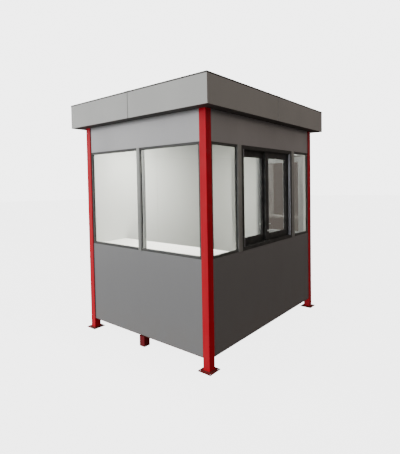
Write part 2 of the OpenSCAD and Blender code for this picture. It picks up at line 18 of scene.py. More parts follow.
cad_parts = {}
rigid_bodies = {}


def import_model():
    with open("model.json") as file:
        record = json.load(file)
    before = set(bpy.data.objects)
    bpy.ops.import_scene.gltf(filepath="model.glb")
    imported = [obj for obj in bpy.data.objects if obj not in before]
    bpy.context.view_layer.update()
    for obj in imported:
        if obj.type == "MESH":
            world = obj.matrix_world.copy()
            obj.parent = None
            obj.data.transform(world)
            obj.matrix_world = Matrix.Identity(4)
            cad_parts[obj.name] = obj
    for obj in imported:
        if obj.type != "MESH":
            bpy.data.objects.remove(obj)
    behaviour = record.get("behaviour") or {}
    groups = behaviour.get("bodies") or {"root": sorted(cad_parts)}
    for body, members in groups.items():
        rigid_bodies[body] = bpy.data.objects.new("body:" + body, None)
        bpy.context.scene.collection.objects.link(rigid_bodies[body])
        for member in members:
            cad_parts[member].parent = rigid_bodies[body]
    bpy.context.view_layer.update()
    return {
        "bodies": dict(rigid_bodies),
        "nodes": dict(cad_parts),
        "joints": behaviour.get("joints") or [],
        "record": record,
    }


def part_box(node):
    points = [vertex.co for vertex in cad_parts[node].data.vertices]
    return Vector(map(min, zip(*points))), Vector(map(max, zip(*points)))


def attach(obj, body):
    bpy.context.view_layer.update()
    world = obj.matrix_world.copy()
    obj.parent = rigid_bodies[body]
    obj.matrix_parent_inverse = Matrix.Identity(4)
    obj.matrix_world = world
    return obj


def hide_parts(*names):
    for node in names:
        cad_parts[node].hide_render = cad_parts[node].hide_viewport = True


log = logging.getLogger("booth")

Colour = tuple[float, float, float]
Point = tuple[float, float, float]
Range = tuple[float, float]
Socket = bpy.types.NodeSocket
Piece = bpy.types.Object

WHITE: Colour = (1.0, 1.0, 1.0)
POST_SIDE = 0.075
FRONT_LINE = -1.0
SOFT_EDGE = math.radians(35.0)
SHARP_EDGE = math.radians(40.0)
EDGE = 0.0008
FINE_EDGE = 0.0006
HAIR_EDGE = 0.0004


class Grain(Enum):
    """The axis along which a drawn or rolled metal shows its lines."""

    X = (2.0, 300.0, 300.0)
    Z = (300.0, 300.0, 2.0)


def grey(level: float) -> Colour:
    """A neutral grey."""
    return (level, level, level)


# ---- Finishes ----------------------------------------------------------------------------


class Nodes:
    """A node tree, with short calls for the nodes that the finishes and the backdrop share."""

    def __init__(self, tree: bpy.types.NodeTree, space: str) -> None:
        """Takes hold of a tree.

        Args:
            tree: The tree to add to.
            space: The coordinates that its patterns follow.
        """
        self.tree = tree
        self.place = self.node("ShaderNodeTexCoord").outputs[space]

    def node(self, kind: str, **settings: object) -> bpy.types.Node:
        """Adds a node.

        Args:
            kind: The node's type.
            settings: Properties to set on it.

        Returns:
            The new node.
        """
        made = self.tree.nodes.new(kind)
        for key, value in settings.items():
            setattr(made, key, value)
        return made

    def feed(self, target: Socket, source: object) -> None:
        """Links a socket, or sets it to a plain value.

        Args:
            target: The input to feed.
            source: An output socket, a number, a colour or a vector.
        """
        if isinstance(source, Socket):
            self.tree.links.new(source, target)
        elif target.type == "RGBA":
            target.default_value = (*source, 1.0)
        else:
            target.default_value = source

    def noise(self, scale: float, detail: float = 4.0, rough: float = 0.55,
              along: Point = (1.0, 1.0, 1.0)) -> Socket:
        """Cloudy noise on the tree's coordinates.

        Args:
            scale: Repeats to each unit of them.
            detail: Octaves.
            rough: How much each octave counts.
            along: Stretch of the coordinates, per axis.

        Returns:
            The noise value.
        """
        mapping = self.node("ShaderNodeMapping")
        made = self.node("ShaderNodeTexNoise")
        for target, source in ((mapping.inputs["Vector"], self.place),
                               (mapping.inputs["Scale"], along),
                               (made.inputs["Vector"], mapping.outputs["Vector"]),
                               (made.inputs["Scale"], scale), (made.inputs["Detail"], detail),
                               (made.inputs["Roughness"], rough)):
            self.feed(target, source)
        return made.outputs["Fac"]

    def cells(self, scale: float) -> Socket:
        """Distance to the nearest cell centre, for speckle.

        Args:
            scale: Cells in a metre.

        Returns:
            The distance.
        """
        made = self.node("ShaderNodeTexVoronoi")
        self.feed(made.inputs["Vector"], self.place)
        self.feed(made.inputs["Scale"], scale)
        return made.outputs["Distance"]

    def span(self, value: object, low: float, high: float, out_low: object = 0.0,
             out_high: object = 1.0, **settings: object) -> Socket:
        """Maps a value from one range to another, clamped.

        Args:
            value: The value or socket to map.
            low: Start of its range.
            high: End of its range.
            out_low: What the start becomes.
            out_high: What the end becomes.
            settings: Other properties of the node.

        Returns:
            The mapped value.
        """
        made = self.node("ShaderNodeMapRange", clamp=True, **settings)
        for key, source in zip(("Value", "From Min", "From Max", "To Min", "To Max"),
                               (value, low, high, out_low, out_high)):
            self.feed(made.inputs[key], source)
        return made.outputs["Result"]

    def reckon(self, kind: str, first: object, second: object) -> Socket:
        """Does one step of arithmetic.

        Args:
            kind: The operation, such as ADD.
            first: A number or socket.
            second: A number or socket.

        Returns:
            The result.
        """
        made = self.node("ShaderNodeMath", operation=kind)
        self.feed(made.inputs[0], first)
        self.feed(made.inputs[1], second)
        return made.outputs[0]

    def times(self, first: object, second: object) -> Socket:
        """The product of two values."""
        return self.reckon("MULTIPLY", first, second)

    def plus(self, first: object, second: object) -> Socket:
        """The sum of two values."""
        return self.reckon("ADD", first, second)

    def height(self) -> Socket:
        """The Z coordinate.

        Returns:
            The coordinate, in metres on a piece.
        """
        made = self.node("ShaderNodeSeparateXYZ")
        self.feed(made.inputs[0], self.place)
        return made.outputs["Z"]

    def mix(self, share: object, first: object, second: object, kind: str = "MIX") -> Socket:
        """Mixes two colours.

        Args:
            share: How much of the second.
            first: A colour or socket.
            second: A colour or socket.
            kind: The blend type.

        Returns:
            The mixed colour.
        """
        made = self.node("ShaderNodeMix", data_type="RGBA", blend_type=kind)
        for key, source in (("Factor", share), ("A", first), ("B", second)):
            self.feed(made.inputs[key], source)
        return made.outputs["Result"]

    def bump(self, height: Socket, depth: float, under: Socket | None = None) -> Socket:
        """Turns a height into a normal.

        Args:
            height: The height value, 0 to 1.
            depth: How deep 1 is, in metres.
            under: A normal to build on.

        Returns:
            The bumped normal.
        """
        made = self.node("ShaderNodeBump")
        self.feed(made.inputs["Distance"], depth)
        self.feed(made.inputs["Height"], height)
        if under is not None:
            self.feed(made.inputs["Normal"], under)
        return made.outputs["Normal"]


class Shading(Nodes):
    """One material's nodes, round one Principled shader."""

    def __init__(self, name: str) -> None:
        """Starts a material.

        Args:
            name: The material's name.
        """
        self.material = bpy.data.materials.new(name)
        self.material.use_nodes = True
        super().__init__(self.material.node_tree, "Object")
        self.shader = self.tree.nodes["Principled BSDF"]
        self.output = self.tree.nodes["Material Output"]

    def finish(self, **sockets: object) -> None:
        """Feeds the shader's inputs by name, with _ for a blank."""
        for key, source in sockets.items():
            self.feed(self.shader.inputs[key.replace("_", " ")], source)


@dataclass(frozen=True)
class Finish:
    """A finish that can be applied to a piece."""

    name: str
    colour: Colour

    def build(self) -> bpy.types.Material:
        """Makes the material.

        Returns:
            The new material.
        """
        shading = Shading(self.name)
        self.coat(shading)
        return shading.material

    def coat(self, s: Shading) -> None:
        """Lays the finish on a new material.

        Args:
            s: The material's nodes.
        """
        raise NotImplementedError

    def tone(self, by: float, lift: float = 0.0) -> Colour:
        """The finish's colour, made darker or lighter."""
        return tuple(min(1.0, c * by + lift) for c in self.colour)


@dataclass(frozen=True)
class Enamel(Finish):
    """Brushed-on gloss enamel on steel tube, with dust and rust towards the ground."""

    rust: float = 0.35
    rust_top: float = 0.16
    rust_colour: Colour = (0.10, 0.035, 0.018)
    dust: float = 0.06
    dust_colour: Colour = (0.30, 0.12, 0.10)
    roughness: float = 0.32
    gloss: float = 0.22
    run_depth: float = 0.00025
    wave_depth: float = 0.00004

    def coat(self, s: Shading) -> None:
        """Lays runs of enamel, dust, and rust near the ground.

        Args:
            s: The material's nodes.
        """
        shade = s.span(s.noise(3.0), 0.3, 0.7, 0.82, 1.0)
        runs = s.noise(22.0, 3.0, along=(1.0, 1.0, 0.12))
        streaks = s.mix(s.span(runs, 0.35, 0.7), WHITE, grey(0.86))
        base = s.mix(1.0, self.colour, streaks, "MULTIPLY")
        dust = s.times(s.span(s.noise(9.0, 6.0), 0.42, 0.7), self.dust)
        base = s.mix(dust, base, self.dust_colour)
        low = s.span(s.height(), self.rust_top, 0.0)
        spots = s.span(s.noise(38.0, 8.0, 0.7), 0.5, 0.62)
        rust = s.times(s.times(spots, low), self.rust)
        base = s.mix(rust, base, self.rust_colour)
        rough = s.span(s.noise(14.0), 0.3, 0.7, self.roughness - 0.03, self.roughness + 0.12)
        s.finish(Base_Color=s.mix(1.0, base, s.mix(shade, grey(0.7), WHITE), "MULTIPLY"),
                 Roughness=s.plus(rough, s.times(rust, 0.4)),
                 Normal=s.bump(runs, self.run_depth, s.bump(s.noise(260.0, 2.0),
                                                            self.wave_depth)),
                 Specular_IOR_Level=self.gloss)


@dataclass(frozen=True)
class Primer(Finish):
    """Dull primer on structural steel, with rust blooms."""

    rust: float = 0.6
    rust_colour: Colour = (0.12, 0.045, 0.02)
    grit_depth: float = 0.0003

    def coat(self, s: Shading) -> None:
        """Lays patchy primer and blooms of rust.

        Args:
            s: The material's nodes.
        """
        bloom = s.times(s.span(s.noise(30.0, 8.0, 0.7), 0.46, 0.64), self.rust)
        base = s.mix(s.span(s.noise(6.0), 0.35, 0.65), self.colour, self.tone(0.72))
        grit = s.noise(180.0, 6.0, 0.7)
        s.finish(Base_Color=s.mix(bloom, base, self.rust_colour),
                 Roughness=s.span(grit, 0.3, 0.7, 0.55, 0.8),
                 Normal=s.bump(grit, self.grit_depth))


@dataclass(frozen=True)
class CoatedSheet(Finish):
    """Coated composite sheet: fine flake, faint waves, smudges, dust low and painted light high
    up.
    """

    metallic: float = 0.6
    roughness: float = 0.3
    wave: float = 0.0012
    grain_depth: float = 0.000002
    dust: float = 0.5
    dust_top: float = 0.45
    dust_colour: Colour = (0.30, 0.27, 0.24)
    painted_light_top: float = 0.0
    painted_light_span: Range = (1.2, 2.0)

    def coat(self, s: Shading) -> None:
        """Lays flake, painted light on the upper part, smudges and the film of dust.

        Args:
            s: The material's nodes.
        """
        flake = s.span(s.noise(900.0, 2.0), 0.3, 0.7)
        base = s.mix(flake, self.tone(0.96), self.tone(1.04))
        # Painted light: the colour is lifted towards the top of the sheet, for the brighter
        # light that falls there.
        painted_light_share = s.times(s.span(s.height(), *self.painted_light_span), self.painted_light_top)
        base = s.mix(painted_light_share, base, self.tone(1.9))
        smear = s.span(s.noise(2.2, 4.0, 0.55, along=(1.0, 1.0, 0.5)), 0.35, 0.7)
        base = s.mix(s.times(smear, 0.18), base, self.tone(0.72))
        low = s.span(s.height(), self.dust_top, 0.08)
        film = s.times(s.times(low, s.span(s.noise(7.0, 6.0), 0.3, 0.75)), self.dust)
        grain = s.bump(s.noise(420.0, 2.0), self.grain_depth,
                       s.bump(s.noise(1.1, 1.0, 0.4), self.wave))
        rough = s.span(smear, 0.0, 1.0, self.roughness - 0.01, self.roughness + 0.07)
        s.finish(Base_Color=s.mix(film, base, self.dust_colour), Metallic=self.metallic,
                 Roughness=s.plus(rough, s.times(film, 0.3)), Normal=grain)


@dataclass(frozen=True)
class Laminate(Finish):
    """Smooth white board with a soft shine, faint marks and scuffs near the floor."""

    roughness: float = 0.29
    scuff: float = 0.35
    scuff_top: float = 0.55
    scuff_colour: Colour = (0.42, 0.40, 0.37)
    peel_depth: float = 0.00003

    def coat(self, s: Shading) -> None:
        """Lays faint marks, scuffs and a fine peel.

        Args:
            s: The material's nodes.
        """
        marks = s.span(s.noise(3.5, 6.0, 0.65), 0.5, 0.75)
        base = s.mix(s.times(marks, 0.22), self.colour, self.tone(0.80))
        low = s.span(s.height(), self.scuff_top, 0.17)
        scuff = s.times(s.times(low, s.span(s.noise(24.0, 5.0), 0.5, 0.7)), self.scuff)
        s.finish(Base_Color=s.mix(scuff, base, self.scuff_colour),
                 Roughness=s.span(marks, 0.0, 1.0, self.roughness, self.roughness + 0.15),
                 Normal=s.bump(s.noise(150.0, 2.0), self.peel_depth))


@dataclass(frozen=True)
class Anodised(Finish):
    """Extruded aluminium with die lines along one axis."""

    grain: Grain = Grain.Z
    roughness: float = 0.34
    metallic: float = 0.5
    line_depth: float = 0.00004

    def coat(self, s: Shading) -> None:
        """Lays die lines and smudges.

        Args:
            s: The material's nodes.
        """
        lines = s.noise(1.0, 3.0, along=self.grain.value)
        base = s.mix(s.span(lines, 0.3, 0.7), self.tone(0.86), self.tone(1.08))
        smudge = s.span(s.noise(12.0, 6.0, 0.6), 0.45, 0.72)
        s.finish(Base_Color=s.mix(s.times(smudge, 0.25), base, self.tone(0.6, 0.03)),
                 Metallic=self.metallic,
                 Roughness=s.span(smudge, 0.0, 1.0, self.roughness, self.roughness + 0.18),
                 Normal=s.bump(lines, self.line_depth))


@dataclass(frozen=True)
class PowderCoat(Finish):
    """Fine textured powder coat with a film of dust on it."""

    roughness: float = 0.42
    dust: float = 0.25
    dust_colour: Colour = (0.22, 0.21, 0.19)
    peel_depth: float = 0.00005

    def coat(self, s: Shading) -> None:
        """Lays orange peel and dust.

        Args:
            s: The material's nodes.
        """
        film = s.times(s.span(s.noise(16.0, 6.0, 0.65), 0.4, 0.75), self.dust)
        s.finish(Base_Color=s.mix(film, self.colour, self.dust_colour),
                 Roughness=s.span(film, 0.0, 0.3, self.roughness, self.roughness + 0.2),
                 Normal=s.bump(s.noise(600.0, 3.0), self.peel_depth))


@dataclass(frozen=True)
class Galvanised(Finish):
    """Zinc-coated sheet with a soft spangle and dull patches."""

    metallic: float = 0.55
    stain_colour: Colour = (0.30, 0.29, 0.27)
    ripple_depth: float = 0.0001

    def coat(self, s: Shading) -> None:
        """Lays spangle and stains.

        Args:
            s: The material's nodes.
        """
        spangle = s.span(s.cells(70.0), 0.0, 0.8)
        base = s.mix(spangle, self.tone(0.84), self.colour)
        stain = s.times(s.span(s.noise(4.0, 7.0, 0.65), 0.45, 0.72), 0.5)
        s.finish(Base_Color=s.mix(stain, base, self.stain_colour), Metallic=self.metallic,
                 Roughness=s.span(spangle, 0.0, 1.0, 0.38, 0.55),
                 Normal=s.bump(s.noise(90.0, 4.0), self.ripple_depth))


@dataclass(frozen=True)
class Glazing(Finish):
    """Clear float glass, faintly tinted, that lets lamps through."""

    tint: float = 0.92
    refraction: float = 1.5
    haze: float = 0.05

    def coat(self, s: Shading) -> None:
        """Lays clear glass, which casts a pale shadow.

        Args:
            s: The material's nodes.
        """
        haze = s.span(s.noise(5.0, 6.0, 0.65), 0.55, 0.8, 0.0, self.haze)
        s.finish(Base_Color=self.colour, Roughness=haze, IOR=self.refraction,
                 Transmission_Weight=1.0)
        clear = s.node("ShaderNodeBsdfTransparent")
        s.feed(clear.inputs["Color"], grey(self.tint))
        path = s.node("ShaderNodeLightPath")
        blend = s.node("ShaderNodeMixShader")
        for target, source in zip(blend.inputs, (path.outputs["Is Shadow Ray"],
                                                 s.shader.outputs[0], clear.outputs[0])):
            s.feed(target, source)
        s.feed(s.output.inputs["Surface"], blend.outputs[0])


@dataclass(frozen=True)
class Moulded(Finish):
    """Moulded plastic or rubber with a fine grain."""

    roughness: float = 0.45
    grain_depth: float = 0.00005

    def coat(self, s: Shading) -> None:
        """Lays a fine grain, worn in places.

        Args:
            s: The material's nodes.
        """
        worn = s.span(s.noise(40.0, 6.0, 0.6), 0.4, 0.7)
        s.finish(Base_Color=s.mix(s.times(worn, 0.3), self.colour, self.tone(0.7, 0.02)),
                 Roughness=s.span(worn, 0.0, 1.0, self.roughness, self.roughness + 0.15),
                 Normal=s.bump(s.noise(500.0, 2.0), self.grain_depth))


@dataclass(frozen=True)
class Vinyl(Finish):
    """Speckled vinyl floor covering."""

    trodden: float = 0.35
    trodden_colour: Colour = (0.16, 0.15, 0.14)
    grain_depth: float = 0.00008

    def coat(self, s: Shading) -> None:
        """Lays chips and trodden patches.

        Args:
            s: The material's nodes.
        """
        base = s.mix(s.span(s.cells(260.0), 0.1, 0.5), self.tone(1.25), self.colour)
        trodden = s.times(s.span(s.noise(3.0, 6.0), 0.4, 0.7), self.trodden)
        s.finish(Base_Color=s.mix(trodden, base, self.trodden_colour),
                 Roughness=s.span(trodden, 0.0, self.trodden, 0.4, 0.6),
                 Normal=s.bump(s.noise(320.0, 3.0), self.grain_depth))


@dataclass(frozen=True)
class Lamp(Finish):
    """Opal diffuser that glows."""

    strength: float = 6.0
    prism_depth: float = 0.0002

    def coat(self, s: Shading) -> None:
        """Lays small prisms on a glowing sheet.

        Args:
            s: The material's nodes.
        """
        prism = s.span(s.cells(120.0), 0.0, 0.6)
        s.finish(Base_Color=s.mix(prism, self.colour, self.tone(0.92)), Roughness=0.4,
                 Normal=s.bump(prism, self.prism_depth), Emission_Color=self.colour,
                 Emission_Strength=self.strength)


FINISHES: dict[str, Finish] = {finish.name: finish for finish in (
    Enamel("post_red", (0.60, 0.001, 0.018)),
    Primer("plate_steel", (0.20, 0.012, 0.014), rust=0.8),
    Primer("frame_primer", (0.14, 0.035, 0.028)),
    # The cladding's upper part is painted lighter, as painted light.
    CoatedSheet("cladding", (0.315, 0.315, 0.32), painted_light_top=0.55),
    # The fascia is the same sheet as the cladding; its lighter colour is painted light, like the
    # cladding's top.
    CoatedSheet("fascia", (0.46, 0.465, 0.45), dust=0.0),
    # The soffit's near-black colour is painted shade under the overhang.
    CoatedSheet("soffit_dark", (0.06, 0.055, 0.05), metallic=0.1, roughness=0.6, dust=0.0),
    Laminate("lining", (0.50, 0.51, 0.48)),
    Vinyl("floor", (0.26, 0.25, 0.23)),
    Lamp("lamp", (1.0, 0.97, 0.90)),
    Galvanised("roof_sheet", (0.52, 0.54, 0.55)),
    PowderCoat("cap_dark", (0.045, 0.043, 0.04)),
    Anodised("mullion_silver", (0.40, 0.41, 0.39)),
    PowderCoat("window_dark", (0.055, 0.058, 0.055)),
    PowderCoat("slider_black", (0.018, 0.020, 0.020)),
    Glazing("clear_glass", (0.97, 0.985, 0.98)),
    Moulded("pull_white", (0.85, 0.85, 0.83)),
    Anodised("door_aluminium", (0.34, 0.35, 0.35)),
    CoatedSheet("door_infill", (0.33, 0.33, 0.335)),
    Anodised("hardware", grey(0.60), grain=Grain.X, roughness=0.29),
    Laminate("counter_white", (1.0, 0.99, 0.94), roughness=0.3),
    PowderCoat("bracket_grey", grey(0.50), dust=0.1),
    Primer("weld_steel", (0.16, 0.012, 0.014), rust=0.9),
    # Dark grey body: painted shade for the mullions' shaded sides, under the silver caps.
    Anodised("mullion_painted_shade", (0.20, 0.205, 0.20), metallic=0.2, roughness=0.5),
    Moulded("sealant", (0.055, 0.055, 0.052), roughness=0.5),
    Moulded("sealant_grey", (0.32, 0.32, 0.31), roughness=0.6),
    Moulded("rubber", grey(0.022), roughness=0.6),
    Moulded("brush", grey(0.05), roughness=0.9, grain_depth=0.0004),
    Moulded("moulded_black", grey(0.02)),
    # Near-white, blue-tinted aluminium: a painted reflection, the bright lines along the
    # slider's jambs.
    Anodised("aluminium_painted_reflection", (0.80, 0.84, 0.95), metallic=0.3, roughness=0.35),
    # A darker copy of the post red: painted shade on the stub feet.
    Enamel("post_red_painted_shade", (0.17, 0.003, 0.008)),
    Anodised("bright_zinc", (0.55, 0.55, 0.53), roughness=0.35),
    Anodised("dark_steel", grey(0.12), roughness=0.4),
    Moulded("joint_grey", (0.36, 0.36, 0.34), roughness=0.7),
)}

NODE_FINISHES: dict[str, str] = {"mullions": "mullion_painted_shade", "mid_feet": "post_red_painted_shade"}

EDGE_RADII: dict[str, float] = {node: radius for radius, nodes in (
    (0.0005, ("parapet_cap",)),
    (0.0006, ("roof_deck",)),
    (0.001, ("base_plates", "front_cladding", "right_cladding", "left_cladding",
             "back_cladding", "back_header", "window_frames", "counter_brackets",
             "door_threshold")),
    (0.0012, ("mullions", "slider_frame")),
    (0.0015, ("fascia_front_left", "fascia_front_right", "fascia_back_left",
              "fascia_back_right", "door_frame")),
    (0.002, ("slider_sashes", "door_leaf_frame", "counter_top", "ceiling_light", "sash_pull")),
    (0.004, ("corner_posts", "mid_feet")),
) for node in nodes}


@dataclass
class PackedFrame:
    """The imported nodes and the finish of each."""

    frame: dict
    merge: float = 1e-5
    flat: float = math.radians(0.5)

    def dress(self) -> dict[str, bpy.types.Material]:
        """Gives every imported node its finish.

        Returns:
            The materials by name.
        """
        made = {name: finish.build() for name, finish in FINISHES.items()}
        for part in self.frame["record"]["subparts"]:
            name = part["node"]
            node = self.frame["nodes"][name]
            finish = NODE_FINISHES.get(name, part["material_slot"])
            for slot in node.material_slots:
                slot.material = made[finish]
            if name in EDGE_RADII:
                self.ease(node, EDGE_RADII[name])
            log.info("dressed %s as %s", name, finish)
        return made

    def ease(self, node: Piece, radius: float) -> None:
        """Rounds a node's sharp edges with modifiers, which leave its mesh alone.

        Args:
            node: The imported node.
            radius: Radius of the rounding.
        """
        weld = node.modifiers.new("weld", "WELD")
        weld.merge_threshold = self.merge
        flat = node.modifiers.new("flat", "DECIMATE")
        flat.decimate_type, flat.angle_limit = "DISSOLVE", self.flat
        bevel = node.modifiers.new("ease", "BEVEL")
        bevel.width, bevel.segments = radius, 2
        bevel.limit_method, bevel.angle_limit = "ANGLE", SOFT_EDGE


# ---- Bench -------------------------------------------------------------------------------


@dataclass(frozen=True)
class Box:
    """The lowest and highest corners of one solid."""

    low: Vector
    high: Vector

    def thin(self) -> int:
        """The axis across which it is thinnest."""
        size = self.high - self.low
        return min(range(3), key=lambda axis: size[axis])

    def shrunk(self, by: float, axis: int) -> "Box":
        """The same box, smaller by a margin along the two axes other than one."""
        step = Vector([0.0 if i == axis else by for i in range(3)])
        return Box(self.low + step, self.high - step)

    def layer(self, axis: int, start: float, end: float) -> "Box":
        """The same box, with another extent along one axis.

        Args:
            axis: 0, 1 or 2.
            start: One end of the extent.
            end: Its other end.

        Returns:
            The new box.
        """
        low, high = self.low.copy(), self.high.copy()
        low[axis], high[axis] = min(start, end), max(start, end)
        return Box(low, high)

    def centre(self) -> Vector:
        """Its middle."""
        return (self.low + self.high) / 2


def extent(x: Range, y: Range, z: Range) -> Box:
    """A box from its extent along each axis, given either way round."""
    return Box(*(Vector([pick(run) for run in (x, y, z)]) for pick in (min, max)))


def round_all(boxes: Sequence[Box]) -> Box:
    """The box round several boxes."""
    return Box(Vector([min(box.low[i] for box in boxes) for i in range(3)]),
               Vector([max(box.high[i] for box in boxes) for i in range(3)]))


def cad(node: str) -> Box:
    """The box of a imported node, at rest."""
    return Box(*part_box(node))


def facing(place: Sequence[float], normal: Sequence[float]) -> Matrix:
    """Stands a shape modelled along +Z at a place, along a normal."""
    turn = Vector(normal).to_track_quat("Z", "Y").to_matrix().to_4x4()
    return Matrix.Translation(Vector(place)) @ turn


def steps(start: float, end: float, count: int) -> list[float]:
    """Evenly spaced numbers from start to end, both included."""
    return [start + (end - start) * i / (count - 1) for i in range(count)]


@dataclass
class Bench:
    """The maker's bench: pieces start from primitives and end as meshes at the origin."""

    materials: dict[str, bpy.types.Material]
    made: int = 0

    @staticmethod
    def clear() -> None:
        """Selects nothing, so that the next operator acts on one piece only."""
        bpy.ops.object.select_all(action="DESELECT")

    @staticmethod
    def settle(thing: Piece) -> Piece:
        """Puts a piece's place, turn and size into its mesh.

        Args:
            thing: The piece.

        Returns:
            The same piece.
        """
        Bench.clear()
        thing.select_set(True)
        bpy.context.view_layer.objects.active = thing
        bpy.ops.object.transform_apply(location=True, rotation=True, scale=True)
        return thing

    @staticmethod
    def edit(pick: str = "SELECT") -> None:
        """Enters edit mode with everything or nothing selected."""
        bpy.ops.object.mode_set(mode="EDIT")
        bpy.ops.mesh.select_all(action=pick)

    @staticmethod
    def leave() -> None:
        """Leaves edit mode."""
        bpy.ops.object.mode_set(mode="OBJECT")

    @staticmethod
    def pick_faces(thing: Piece, axis: int, sides: Sequence[int]) -> None:
        """Goes from object mode to edit mode with the faces that look along an axis selected.

        Args:
            thing: The piece being shaped.
            axis: 0, 1 or 2.
            sides: 1, -1 or both.
        """
        Bench.edit("DESELECT")
        bpy.ops.mesh.select_mode(type="FACE")
        Bench.leave()
        for face in thing.data.polygons:
            face.select = any(face.normal[axis] * side > 0.9 for side in sides)
        bpy.ops.object.mode_set(mode="EDIT")

    @staticmethod
    def ease_sharp(angle: float, edge: float, rounds: int) -> None:
        """In edit mode, turns all faces outwards, bevels the sharp edges and leaves.

        Args:
            angle: Edges that turn by more than this are sharp.
            edge: Radius of the bevel.
            rounds: Segments of the bevel.
        """
        bpy.ops.mesh.select_all(action="SELECT")
        bpy.ops.mesh.normals_make_consistent(inside=False)
        bpy.ops.mesh.select_mode(type="EDGE")
        bpy.ops.mesh.select_all(action="DESELECT")
        bpy.ops.mesh.edges_select_sharp(sharpness=angle)
        bpy.ops.mesh.bevel(offset=edge, segments=rounds, affect="EDGES")
        Bench.leave()

    def slab(self, centre: Sequence[float], size: Sequence[float]) -> Piece:
        """Starts a shape as a block of a size at a place.

        Args:
            centre: Its middle.
            size: Its size along each axis.

        Returns:
            The block.
        """
        self.clear()
        bpy.ops.mesh.primitive_cube_add(size=1.0, location=centre)
        thing = bpy.context.object
        thing.scale = size
        return self.settle(thing)

    def block(self, box: Box, edge: float, rounds: int = 2) -> Piece:
        """Shapes a block with rounded edges.

        Args:
            box: Its corners.
            edge: Radius of its edges.
            rounds: Segments of the rounding.

        Returns:
            The block.
        """
        thing = self.slab(box.centre(), box.high - box.low)
        self.edit()
        bpy.ops.mesh.bevel(offset=edge, segments=rounds, affect="EDGES")
        self.leave()
        return thing

    def ring(self, box: Box, width: float, edge: float) -> Piece:
        """Shapes a flat frame round an opening: a slab, inset on both faces and bridged.

        Args:
            box: Its outer corners; it is flat across its thinnest side.
            width: Width of its four bars.
            edge: Radius of its edges.

        Returns:
            The frame.
        """
        thing = self.slab(box.centre(), box.high - box.low)
        self.pick_faces(thing, box.thin(), (1, -1))
        bpy.ops.mesh.inset(thickness=width, use_even_offset=True)
        bpy.ops.mesh.bridge_edge_loops()
        self.ease_sharp(SHARP_EDGE, edge, 1)
        return thing

    def rod(self, centre: Sequence[float], radius: float, length: float, axis: int,
            edge: float, sides: int = 24) -> Piece:
        """Shapes a round rod with eased ends.

        Args:
            centre: Its middle.
            radius: Its radius.
            length: Its length.
            axis: The axis it lies along.
            edge: How far its ends are eased.
            sides: Its number of sides.

        Returns:
            The rod.
        """
        self.clear()
        turn = {0: (0.0, math.pi / 2, 0.0), 1: (math.pi / 2, 0.0, 0.0), 2: (0.0, 0.0, 0.0)}
        bpy.ops.mesh.primitive_cylinder_add(vertices=sides, radius=radius, depth=length,
                                            location=centre, rotation=turn[axis])
        thing = self.settle(bpy.context.object)
        self.pick_faces(thing, axis, (1, -1))
        bpy.ops.mesh.bevel(offset=edge, segments=2, affect="EDGES")
        self.leave()
        return thing

    def screw(self, radius: float = 0.004, height: float = 0.0022) -> Piece:
        """Shapes a pan-head screw at the origin, its head along +Z, with a recess.

        Args:
            radius: Radius of its head.
            height: Height of its head.

        Returns:
            The screw head.
        """
        self.clear()
        bpy.ops.mesh.primitive_cylinder_add(vertices=12, radius=radius, depth=height,
                                            location=(0.0, 0.0, height / 2))
        thing = self.settle(bpy.context.object)
        self.pick_faces(thing, 2, (1,))
        bpy.ops.mesh.bevel(offset=height * 0.4, segments=2, affect="EDGES")
        bpy.ops.mesh.inset(thickness=radius * 0.28)
        bpy.ops.mesh.extrude_region_move(
            TRANSFORM_OT_translate={"value": (0.0, 0.0, -height * 0.5)})
        self.leave()
        return thing

    def spread(self, first: Piece, places: Sequence[Matrix]) -> Piece:
        """Copies a shape to several places, each with its own mesh, and joins them.

        Args:
            first: The shape, modelled at the origin.
            places: One matrix for each copy.

        Returns:
            One object that holds all the copies.
        """
        copies = []
        for place in places:
            copy = first.copy()
            copy.data = first.data.copy()
            copy.data.transform(place)
            bpy.context.scene.collection.objects.link(copy)
            copies.append(copy)
        bpy.data.objects.remove(first)
        return self.joined(copies)

    def joined(self, things: Sequence[Piece]) -> Piece:
        """Joins several shapes into one piece, and leaves it selected.

        Args:
            things: The shapes.

        Returns:
            The piece.
        """
        self.clear()
        for thing in things:
            thing.select_set(True)
        bpy.context.view_layer.objects.active = things[0]
        if len(things) > 1:
            bpy.ops.object.join()
        return things[0]

    def hand_over(self, shapes: Sequence[Piece], name: str, finish: str, slot: str,
                  body: str = "booth", smooth: float = SOFT_EDGE) -> Piece:
        """Joins, names, paints and attaches a finished piece.

        Args:
            shapes: The shapes that it is joined from.
            name: Its name.
            finish: The finish's name.
            slot: The record's material slot that it belongs to; not used.
            body: The body it rides on.
            smooth: Edges that turn by less than this are shaded smooth.

        Returns:
            The piece.
        """
        thing = self.joined(shapes)
        bpy.ops.object.shade_smooth_by_angle(angle=smooth)
        thing.name = thing.data.name = name
        thing.data.materials.clear()
        thing.data.materials.append(self.materials[finish])
        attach(thing, body)
        self.made += 1
        log.info("made %s: %d faces, on %s", name, len(thing.data.polygons), body)
        return thing


